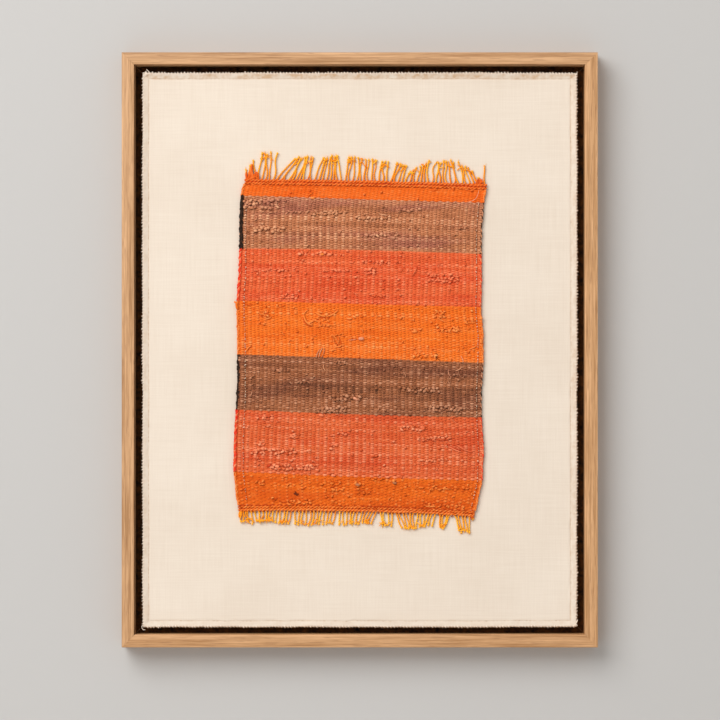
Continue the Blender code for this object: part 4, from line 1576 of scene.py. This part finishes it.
def corner_tufts():
    rng = np.random.default_rng(420)
    along = np.linspace(0, 1, TUFT_PLACES)
    paths, radii, tones, paint = [], [], [], []
    wools, numbers = wools_of(TUFTS)
    for number, tuft in zip(numbers, TUFTS):
        foot_from, foot_to, foot_up, tip_x, tip_up, scatter, count, radius, _wool = tuft
        foot = rng.uniform(foot_from, foot_to, (count, 1))
        tip = tip_x + scatter * rng.normal(size=(count, 1))
        top = foot_up + (tip_up - foot_up) * rng.uniform(0.45, 1.05, (count, 1))
        bow = rng.normal(size=(count, 1)) * np.sin(np.pi * along)
        depth = CLOTH_DEPTH + 1.2 + rng.uniform(0, 1.8, (count, 1)) * np.sin(np.pi * along * 0.8)
        paths.append(place(foot + (tip - foot) * along + 0.8 * bow, depth,
                           foot_up + (top - foot_up) * along + 0.3 * bow))
        radii.append(radius * rng.uniform(0.8, 1.3, (count, 1)) * (1 - 0.25 * along ** 3))
        tones.append(rng.uniform(-0.6, 0.35, (count, 1)) + 0.2 * along)
        paint += [number] * count
    return yarn_piece("corner_tufts", "warp_yarn", wools, np.concatenate(paths), np.concatenate(radii),
                      np.concatenate(tones), sides=6, paint=paint)


TIP_SEEDS = (411, 412)
tip_pieces = [corner_tufts(), build_root_shadows("painted_root_shadows", 12, -1, 430),
              wound_bunches("wound_top", 0, 1, TOP_BUNCHES[1:], 440),
              wound_bunches("wound_bottom", 12, -1, BOTTOM_BUNCHES, 441)]
for fringe, (piece, points, heading), seed in zip(FRINGES, fringes, TIP_SEEDS):
    tip_pieces += build_tips(fringe[0], points, heading, seed)

# %% [markdown]
# ## Plain weave
# The kilim lies on a rectangle of plain-woven cotton. Its threads lie 0.6 mm apart, too fine
# and too many for geometry, so a node group draws them as a shallow relief: two waves crossed,
# pushed about by noise, with thick and thin threads in both directions. The same group also
# gives the slubs, which shade the cloth.

# %% Plain weave group
THREAD_PITCH = 0.62 * MM


def make_weave_group():
    """Relief and shade of a plain weave, read from the place on the cloth."""
    group, inside, outside = new_group(
        "plain_weave",
        [("Place", "NodeSocketVector", None), ("Pitch", "NodeSocketFloat", THREAD_PITCH)],
        [("Height", "NodeSocketFloat"), ("Slub", "NodeSocketFloat")],
    )
    here = inside.outputs["Place"]
    split = group.nodes.new("ShaderNodeSeparateXYZ")
    group.links.new(here, split.inputs[0])
    wander = math_node(group, "MULTIPLY", noise(group, here, 90.0), 5.0)
    waves = []
    for axis in ("X", "Z"):
        turns = math_node(group, "DIVIDE", split.outputs[axis], inside.outputs["Pitch"])
        turns = math_node(group, "ADD", turns, wander)
        waves.append(math_node(group, "SINE", math_node(group, "MULTIPLY", turns, math.pi), 0.0))
    weave = math_node(group, "ABSOLUTE", math_node(group, "MULTIPLY", waves[0], waves[1]), 0.0)
    along_x = noise(group, here, (28.0, 1.0, 900.0), 3.0)
    along_z = noise(group, here, (900.0, 1.0, 28.0), 3.0)
    slub = weighted(group, (along_x, 0.5), (along_z, 0.5))
    group.links.new(weighted(group, (weave, 0.5), (slub, 1.6)), outside.inputs["Height"])
    group.links.new(slub, outside.inputs["Slub"])
    return group


WEAVE_GROUP = make_weave_group()
print("plain weave group has", len(WEAVE_GROUP.nodes), "nodes")

# %% Cotton
COTTON_ROUGHNESS = 0.92
COTTON_SHEEN = 0.1


def cloth_material(name, pale, shaded, tan_and_shade_colour):
    """Cotton that is shaded by its slubs and a faint stain, and browner along the hem, where painted shade
    is mixed in too.
    """
    material = new_material(name, COTTON_ROUGHNESS, sheen=COTTON_SHEEN)
    tree = material.node_tree
    here = object_place(tree)
    weave = tree.nodes.new("ShaderNodeGroup")
    weave.node_tree = WEAVE_GROUP
    tree.links.new(here, weave.inputs["Place"])
    stain = noise(tree, here, 14.0, 3.0, 0.55)
    shade = math_node(tree, "SUBTRACT", weighted(tree, (weave.outputs["Slub"], 1.2), (stain, 0.7)), 0.6)
    colour = mix_colours(tree, shade, linear(*pale), linear(*shaded))
    speckles = share_between(tree, noise(tree, here, 330.0, 3.0, 0.6), 0.4, 0.6)
    spots = math_node(tree, "ADD", math_node(tree, "MULTIPLY", speckles, 0.55), 0.45)
    hem_share = math_node(tree, "MULTIPLY", attribute_socket(tree, "hem"), spots)
    colour = mix_colours(tree, hem_share, colour, linear(*tan_and_shade_colour))
    return dress(material, colour, bump(tree, weave.outputs["Height"], 0.1 * MM, 0.45))


COTTON = cloth_material("cream_cotton", (229, 216, 200), (211, 194, 175), (200, 168, 136))
print("cotton has", len(COTTON.node_tree.nodes), "nodes")

# %% [markdown]
# ## The cream cloth
# The cloth's hem is turned, stitched and overcast, so its rim stands a little proud, puckers
# and wavers. A simulated cloth would fall in its own way, but this one is stretched flat, so a
# grid is moved to the cloth's size with its lines drawn together at the hem, and its thickness
# comes from a modifier. An attribute keeps how strongly the hem is browned at each point, and
# it also carries painted shade: more at the top, and a dark line in the crease of the stitches.

# %% Lines of the cloth
CLOTH_WIDTH = 366.0
CLOTH_HEIGHT = 467.0
CLOTH_THICK = 1.5
INNER_CELL = 3.0
HEM_LINES = (0.0, 0.35, 0.8, 1.4, 2.1, 2.8, 3.5, 4.2, 4.8, 5.2, 5.6, 6.4, 7.6)
# How far the face stands forward, at distances from the cloth's edge, in millimetres.
HEM_PROFILE = ((0.0, 0.35, 0.8, 1.4, 4.2, 4.8, 5.2, 5.6, 6.4, 7.6),
               (-0.5, 0.25, 0.75, 0.8, 0.2, 0.05, -0.22, -0.1, 0.1, 0.0))
PUCKER_END = 5.6
# Edges waver, and the middle stays: the share of the way out is raised to this power.
WAVER_POWER = 9


def hemmed_places(size):
    """Places of the grid's lines along one side, drawn together at both hems."""
    hem = np.array(HEM_LINES) - size / 2
    inner = np.linspace(hem[-1], -hem[-1], round((size - 2 * HEM_LINES[-1]) / INNER_CELL))
    return np.concatenate([hem, inner[1:-1], -hem[::-1]])


def edge_distance(x, z):
    """How far a point of the flat cloth lies from its sides and from its ends."""
    return CLOTH_WIDTH / 2 - np.abs(x), CLOTH_HEIGHT / 2 - np.abs(z)


def waver(x, z, x_share, z_share):
    """Sideways wandering of the edges, which fades towards the middle of the cloth."""
    in_x = 0.22 * cloud(z, z * 0 + 5, 21, 501) + 0.2 * cloud(z, z * 0 + 9, 4.1, 502)
    in_z = 0.22 * cloud(x, x * 0 + 5, 19, 503) + 0.2 * cloud(x, x * 0 + 9, 4.3, 504)
    return (in_x * np.abs(x_share) ** WAVER_POWER * np.sign(x_share),
            in_z * np.abs(z_share) ** WAVER_POWER * np.sign(z_share))


def on_cloth(x, z):
    """The place on the cloth's wavering face, and its depth, of a point of the flat cloth."""
    dx, dz = waver(x, z, x / (CLOTH_WIDTH / 2), z / (CLOTH_HEIGHT / 2))
    distance = np.minimum(*edge_distance(x, z))
    puckers = 0.26 * cloud(x, z, 7, 505) + 0.22 * cloud(x, z, 2.9, 507)
    puckers = puckers * np.clip(distance - 0.4, 0, 1) * (distance < PUCKER_END)
    ripple = puckers + 0.05 * cloud(x, z, 46, 506)
    return x + dx, z + dz, CLOTH_DEPTH + np.interp(distance, *HEM_PROFILE) + ripple


print("lines across and up:", len(hemmed_places(CLOTH_WIDTH)), len(hemmed_places(CLOTH_HEIGHT)))

# %% Cream cloth
SMOOTH_BELOW = math.radians(50)


def painted_hem_shade_and_tan(x, z):
    """How brown the hem is: a tan band on the turning, and a dark line in the crease of its stitches, both
    with painted shade mixed in.
    """
    to_side, to_end = edge_distance(x, z)
    distance, at_side = np.minimum(to_side, to_end), to_side < to_end
    tan_band_and_shade = np.interp(distance, (0.8, 1.6, 4.6, 5.2), (0, 0.6, 0.5, 0))
    tan_band_and_shade = tan_band_and_shade * (1 + 0.9 * cloud(x, z, 2.7, 508) + 0.5 * cloud(x, z, 13, 509))
    # Painted shade: the band is about four times as strong at the top as at the bottom.
    side_share, end_share = np.where(x < 0, 0.46, 0.56), np.where(z > 0, 1.25, 0.3)
    tan_band_and_shade = np.maximum(tan_band_and_shade, 0) * np.where(at_side, side_share, end_share)
    # Painted shade: a dark line in the crease of the stitches, strongest at the top.
    crease = np.interp(distance, (4.6, 5.2, 5.8), (0, 1.0, 0)) * (0.9 + 0.7 * cloud(x, z, 9, 511))
    crease = crease * np.where(at_side, 0.75, np.where(z > 0, 1.0, 0.45))
    return np.maximum(tan_band_and_shade, crease)


def build_cloth():
    across, up = hemmed_places(CLOTH_WIDTH), hemmed_places(CLOTH_HEIGHT)
    cloth = flat_grid("cream_cloth", len(across) - 1, len(up) - 1)
    x, z = np.meshgrid(across, up)
    face_x, face_z, depth = on_cloth(x, z)
    cloth.data.vertices.foreach_set("co", place(face_x, depth, face_z).reshape(-1))
    hem = cloth.data.attributes.new("hem", "FLOAT", "POINT")
    hem.data.foreach_set("value", painted_hem_shade_and_tan(x, z).reshape(-1))
    cloth.data.materials.append(COTTON)
    thicken(cloth, CLOTH_THICK * MM, offset=-1)
    bpy.ops.object.shade_smooth_by_angle(angle=SMOOTH_BELOW)
    finish_piece(cloth, "cream_cloth", "mount_cloth")
    return cloth


cream_cloth = build_cloth()

# %% [markdown]
# ## The hem's sewing
# An overcast thread wraps the raw edge of the hem in small slanted loops, which give the rim
# its scalloped look. A row of straight stitches holds the turning down. At the corners the
# thread ends stand out. A scalloped outline on the sheet alone would show no thread, so all of
# it is made as joined tubes that follow the cloth's own wavering face.

# %% Hem thread
LINEN_THREAD = wool_material("hem_thread", (240, 222, 202), (190, 156, 122), (248, 236, 222), 0.4)
LOOP_PITCH = 2.7
LOOP_REACH = 1.3
LOOP_PLACES = 6
LOOP_RADIUS = 0.52
HEM_STITCH_INSET = 5.2
HEM_STITCH_PITCH = 3.1
HEM_STITCH_LENGTH = 2.2
HEM_STITCH_RADIUS = 0.24
HEM_STITCH_PLACES = 7


def round_the_edge(inset, pitch):
    """Evenly spaced places along the cloth's four sides, with the way outwards at each."""
    half_x, half_z = CLOTH_WIDTH / 2 - inset, CLOTH_HEIGHT / 2 - inset
    places = []
    for half_along, half_out, turn in (
            (half_x, half_z, (1, 0)), (half_z, half_x, (0, -1)),
            (half_x, half_z, (-1, 0)), (half_z, half_x, (0, 1))):
        along = np.arange(-half_along + pitch, half_along - pitch, pitch)
        out_way = (-turn[1], turn[0])
        places.append(np.stack([along * turn[0] + half_out * out_way[0],
                                along * turn[1] + half_out * out_way[1],
                                0 * along + out_way[0], 0 * along + out_way[1]], axis=1))
    return np.concatenate(places)


print("places for loops:", len(round_the_edge(0, LOOP_PITCH)))


# %% Overcast and straight stitches
def overcast_loops():
    """Loops that run from the face over the edge to the back. Where they stand proud of the
    edge they are moved out from it, and elsewhere they lie on the cloth."""
    rng = np.random.default_rng(510)
    x, z, out_x, out_z = round_the_edge(0, LOOP_PITCH).T[:, :, None]
    along = np.linspace(0, 1, LOOP_PLACES)
    over = np.sin(np.pi * along)
    reach = LOOP_REACH * rng.uniform(0.75, 1.25, x.shape)
    drift = (along - 0.5) * rng.uniform(0.6, 1.6, x.shape) + rng.uniform(-0.3, 0.3, x.shape)
    proud = np.where(out_z < 0, 0.3, 0.6)
    outwards = 0.1 + proud * rng.uniform(0, 1, x.shape) - reach * (1 - over)
    flat_x = x + out_x * np.minimum(outwards, 0) - out_z * drift
    flat_z = z + out_z * np.minimum(outwards, 0) + out_x * drift
    face_x, face_z, depth = on_cloth(flat_x, flat_z)
    front = depth + 0.12
    back = depth - CLOTH_THICK
    level = back + (front - back) * np.clip(1.5 - 1.9 * along, 0, 1)
    path = place(face_x + out_x * np.maximum(outwards, 0), level,
                 face_z + out_z * np.maximum(outwards, 0))
    thick = LOOP_RADIUS * rng.uniform(0.65, 1.3, x.shape)
    tone = rng.uniform(0, 0.9, x.shape)
    return yarn_piece("overcast_thread", "cream_cloth", [LINEN_THREAD], path, thick, tone, sides=4)


def straight_stitches():
    """One row of stitches in the crease of the hem, each an arc that dips in at both ends."""
    rng = np.random.default_rng(520)
    x, z, out_x, out_z = round_the_edge(HEM_STITCH_INSET, HEM_STITCH_PITCH).T[:, :, None]
    along = np.linspace(0, 1, HEM_STITCH_PLACES)
    slide = (along - 0.5) * HEM_STITCH_LENGTH
    face_x, face_z, depth = on_cloth(x - out_z * slide, z + out_x * slide)
    path = place(face_x, depth - 0.25 + 0.4 * np.sin(np.pi * along), face_z)
    tone = rng.uniform(-0.9, -0.1, x.shape)
    return yarn_piece("hem_stitches", "cream_cloth", [LINEN_THREAD], path, HEM_STITCH_RADIUS, tone, sides=4)


print("thread radius:", LOOP_RADIUS, "mm")

# %% Corner threads
CORNER_THREAD_PLACES = 9
CORNER_THREAD_TONE = 0.4
# Columns: start across and up from the frame's middle, end across and up, bow, radius.
CORNER_THREADS = (
    (-176.2, 232, -179.6, 236.2, 0.3, 0.5),
    (-178.4, 232.4, -179.9, 235, -0.4, 0.36),
    (-180, 231.6, -182.4, 233, 0.8, 0.55),
    (-177, 232.6, -182.6, 230.6, 0.9, 0.6),
    (-182.2, 229.6, -178.6, 231.6, -0.5, 0.5),
    (181.4, 231.4, 183, 234.2, 0.6, 0.4),
    (181, 232, 183.2, 231.6, -0.5, 0.4),
    (181.2, -231, 183.4, -227, 0.5, 0.36),
    (181.2, -231.2, 183.2, -232.4, -0.6, 0.36),
    (181.6, -222, 183.6, -223.6, 0.3, 0.3),
    (-181.4, -231.6, -183.2, -234.6, 1.2, 0.36),
    (-183, -234.2, -180.6, -235.4, 0.9, 0.34),
    (-169.6, -231.8, -169.2, -234.4, 0.3, 0.36),
    (-160.6, -231.8, -160.4, -233.6, 0.2, 0.32),
    (-155.2, -231.8, -155, -233.4, -0.2, 0.32),
)


def corner_threads():
    *ends, bow, radius = columns(CORNER_THREADS)
    along = np.linspace(0, 1, CORNER_THREAD_PLACES)
    x, z, _arch = bowed(*ends, bow, along)
    path = place(x, CLOTH_DEPTH + 0.6 + 0.8 * along, z)
    return yarn_piece("corner_threads", "cream_cloth", [LINEN_THREAD], path,
                      radius * (1 - 0.3 * along), CORNER_THREAD_TONE, sides=6)


hem_pieces = [overcast_loops(), straight_stitches(), corner_threads()]

# %% [markdown]
# ## The pieces that go with the kilim
# Both cloths are real sheets that someone cuts. What is sewn or woven into the kilim goes with
# it, and is gathered here in one list.

on_kilim = weft_pieces + twined_pieces + selvedge_pieces + sewing_pieces
on_kilim += [loose_piece, ridge_piece, loop_piece]
on_kilim += [piece for piece, points, heading in fringes] + tip_pieces
print("pieces that go with the kilim:", len(on_kilim))

# %% [markdown]
# ## Oak
# The rails are oiled oak: long pale and brown streaks, and short dark pores, all along the
# rail. An even brown would look like plastic. One group reads noise that is drawn out along X,
# and each rail's material turns it to that rail's direction.


# %% Oak group
def make_grain_group():
    """Colour share, pore mask and relief of oak whose grain runs along X of Place."""
    group, inside, outside = new_group(
        "oak_grain",
        [("Place", "NodeSocketVector", None), ("Coarseness", "NodeSocketFloat", 1.0)],
        [("Shade", "NodeSocketFloat"), ("Pores", "NodeSocketFloat"), ("Height", "NodeSocketFloat")],
    )
    here = inside.outputs["Place"]
    broad = noise(group, here, (7.0, 260.0, 260.0), 3.0, 0.6)
    fine = noise(group, here, (17.0, 760.0, 760.0), 3.0, 0.7)
    pores = share_between(group, noise(group, here, (80.0, 1500.0, 1500.0), 1.0), 0.56, 0.7)
    shade = weighted(group, (broad, 0.36), (fine, 0.64))
    shade = math_node(group, "MULTIPLY", shade, inside.outputs["Coarseness"])
    height = math_node(group, "SUBTRACT", fine, math_node(group, "MULTIPLY", pores, 0.6))
    group.links.new(shade, outside.inputs["Shade"])
    group.links.new(pores, outside.inputs["Pores"])
    group.links.new(height, outside.inputs["Height"])
    return group


GRAIN_GROUP = make_grain_group()
print("grain group has", len(GRAIN_GROUP.nodes), "nodes")

# %% Oak
PALE_OAK = (217, 168, 120)
BROWN_OAK = (166, 118, 70)
DARK_PORE = (140, 96, 58)
OAK_ROUGHNESS = 0.55
PORE_STRENGTH = 0.45


def oak_material(name, turn, light_balance):
    """Oiled oak. turn swings the grain about Y, from along X. The third number scales both shades of oak,
    as painted light and shade.
    """
    material = new_material(name, OAK_ROUGHNESS)
    tree = material.node_tree
    swing = tree.nodes.new("ShaderNodeMapping")
    swing.inputs["Rotation"].default_value = (0, turn, 0)
    tree.links.new(object_place(tree), swing.inputs["Vector"])
    grain = tree.nodes.new("ShaderNodeGroup")
    grain.node_tree = GRAIN_GROUP
    tree.links.new(swing.outputs["Vector"], grain.inputs["Place"])
    pale, brown = ([channel * light_balance for channel in colour] for colour in (PALE_OAK, BROWN_OAK))
    colour = mix_colours(tree, share_between(tree, grain.outputs["Shade"], 0.39, 0.61),
                         linear(*pale), linear(*brown))
    pore_share = math_node(tree, "MULTIPLY", grain.outputs["Pores"], PORE_STRENGTH)
    colour = mix_colours(tree, pore_share, colour, linear(*DARK_PORE))
    return dress(material, colour, bump(tree, grain.outputs["Height"], 0.1 * MM, 0.35))


# Painted light and shade: the top and left rails are made 3.5 % darker and the right rail 2 % lighter, to
# even out how the light falls on them.
OAK_TOP = oak_material("oak_top", 0.0, 0.965)
OAK_BOTTOM = oak_material("oak_bottom", 0.0, 1.0)
OAK_LEFT = oak_material("oak_left", math.pi / 2, 0.965)
OAK_RIGHT = oak_material("oak_right", math.pi / 2, 1.02)
print("oak has", len(OAK_TOP.node_tree.nodes), "nodes")

# %% Black stain, also used as painted shade
STAIN_BLACK = (20, 10, 3)
STAIN_BROWN = (104, 60, 20)


def stain_and_shade_material():
    """Black stain on the foot, thin enough that brown wood shows in blotches. It also paints the shade on
    the inner arris of the top and left rails.
    """
    material = new_material("black_stain_and_shade", 0.75)
    shader_of(material).inputs["Specular IOR Level"].default_value = 0.12
    tree = material.node_tree
    blotches = noise(tree, object_place(tree), 210.0, 4.0, 0.7)
    colour = mix_colours(tree, share_between(tree, blotches, 0.34, 0.72),
                         linear(*STAIN_BLACK), linear(*STAIN_BROWN))
    return dress(material, colour, bump(tree, blotches, 0.1 * MM))


BLACK_STAIN_AND_SHADE = stain_and_shade_material()
print("stain has", len(BLACK_STAIN_AND_SHADE.node_tree.nodes), "nodes")

# %% [markdown]
# ## The oak frame
# Each rail is an L in section: a face 10.8 mm wide and 25 mm deep, with a foot at the wall on
# which the board lies. A rail is modelled as a joiner would make it: a bar, a foot drawn out
# of its back, mitres sawn at 45 degrees, and arrises broken with a plane. A profile swept
# round the frame would be quicker, but its grain would run round the corners. All four rails
# are made lying along X, and then turned into place.

# %% Measures and shape of a rail
FRAME_WIDTH = 400.0
FRAME_HEIGHT = 500.0
FRAME_DEPTH = 25.0
RAIL_FACE = 10.8
FOOT_WIDTH = 16.0
FOOT_DEPTH = 5.0
MITRE_GAP = 0.12
ARRIS = 0.55
CLOSE = 0.01 * MM


def shape_rail(rail, length, outer):
    """Draw the foot out of the bar, saw both mitres and break the arrises."""
    edit_all(rail)
    bpy.ops.mesh.bisect(plane_co=(0, -FOOT_DEPTH * MM, 0), plane_no=(0, 1, 0))
    select_faces(rail, lambda centre, normal: normal.z < -0.9 and centre.y > -FOOT_DEPTH * MM)
    bpy.ops.mesh.extrude_region_move(TRANSFORM_OT_translate={"value": (0, 0, -FOOT_WIDTH * MM)})
    for side in (-1, 1):
        outwards = Vector((side, 0, -1)).normalized()
        corner = Vector((side * length / 2, 0, outer)) * MM
        bpy.ops.mesh.select_all(action="SELECT")
        bpy.ops.mesh.bisect(plane_co=corner - outwards * MITRE_GAP / 2 * MM, plane_no=outwards,
                            clear_outer=True, use_fill=True)
    for depth, segments in ((-FRAME_DEPTH * MM, 3), (0, 2)):
        select_edges(rail, lambda a, b: abs(a.y - depth) < CLOSE and abs(b.y - depth) < CLOSE
                     and abs(a.z - b.z) < CLOSE)
        bpy.ops.mesh.bevel(offset=ARRIS * MM, segments=segments)
    deselect_all()


print("section:", RAIL_FACE, "by", FRAME_DEPTH, "mm, foot", FOOT_WIDTH, "by", FOOT_DEPTH, "mm")

# %% Rails
SMOOTH_OAK_BELOW = math.radians(20)
# Painted shade: the turns of the rails whose inner front arris, on the side away from the light, is given
# the black stain.
SHADED_ARRIS = (0, 270)
# Columns: name, length, outer face's distance from the middle, turn about Y in degrees, oak.
RAILS = (
    ("rail_top", FRAME_WIDTH, FRAME_HEIGHT / 2, 0, OAK_TOP),
    ("rail_right", FRAME_HEIGHT, FRAME_WIDTH / 2, 90, OAK_RIGHT),
    ("rail_bottom", FRAME_WIDTH, FRAME_HEIGHT / 2, 180, OAK_BOTTOM),
    ("rail_left", FRAME_HEIGHT, FRAME_WIDTH / 2, 270, OAK_LEFT),
)


def build_rail(name, length, outer, turn, oak):
    """One rail, made at the top of the frame and turned to its side."""
    deselect_all()
    middle = (0, -FRAME_DEPTH / 2 * MM, (outer - RAIL_FACE / 2) * MM)
    bpy.ops.mesh.primitive_cube_add(size=1, location=middle)
    rail = bpy.context.object
    rail.name = "oak_" + name
    rail.scale = (length * MM, FRAME_DEPTH * MM, RAIL_FACE * MM)
    settle(rail)
    shape_rail(rail, length, outer)
    rail.data.materials.append(oak)
    rail.data.materials.append(BLACK_STAIN_AND_SHADE)
    arris_back = (ARRIS - FRAME_DEPTH) * MM
    arris_top = (outer - RAIL_FACE + ARRIS) * MM
    for face in rail.data.polygons:
        on_foot = face.normal.y < -0.9 and abs(face.center.y + FOOT_DEPTH * MM) < CLOSE
        on_shaded_arris = face.center.y < arris_back and face.center.z < arris_top
        face.material_index = 1 if on_foot or (on_shaded_arris and turn in SHADED_ARRIS) else 0
    rail.rotation_euler = (0, math.radians(turn), 0)
    rail.location = MIDDLE
    settle(rail)
    bpy.ops.object.shade_smooth_by_angle(angle=SMOOTH_OAK_BELOW)
    finish_piece(rail, "oak", name)


for facts in RAILS:
    build_rail(*facts)

# %% [markdown]
# ## The board
# The cloth lies on a dark board, of which only a narrow edge shows. Its shape is already right
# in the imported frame, so only its finish is set: black-stained fibreboard with fine flecks.

# %% Board finish
BOARD_DARK = (24, 18, 14)
BOARD_LIGHT = (66, 50, 38)


def board_material():
    material = new_material("dark_fibreboard", 0.85)
    tree = material.node_tree
    here = object_place(tree)
    flecks = noise(tree, here, (900.0, 900.0, 400.0), 3.0)
    share = weighted(tree, (flecks, 0.5), (noise(tree, here, 30.0, 3.0), 0.5))
    return dress(material, mix_colours(tree, share, linear(*BOARD_DARK), linear(*BOARD_LIGHT)),
                 bump(tree, flecks, 0.15 * MM))


board = bpy.data.objects["mount_board"]
board.data.materials.clear()
board.data.materials.append(board_material())
print("board finish:", board.data.materials[0].name)
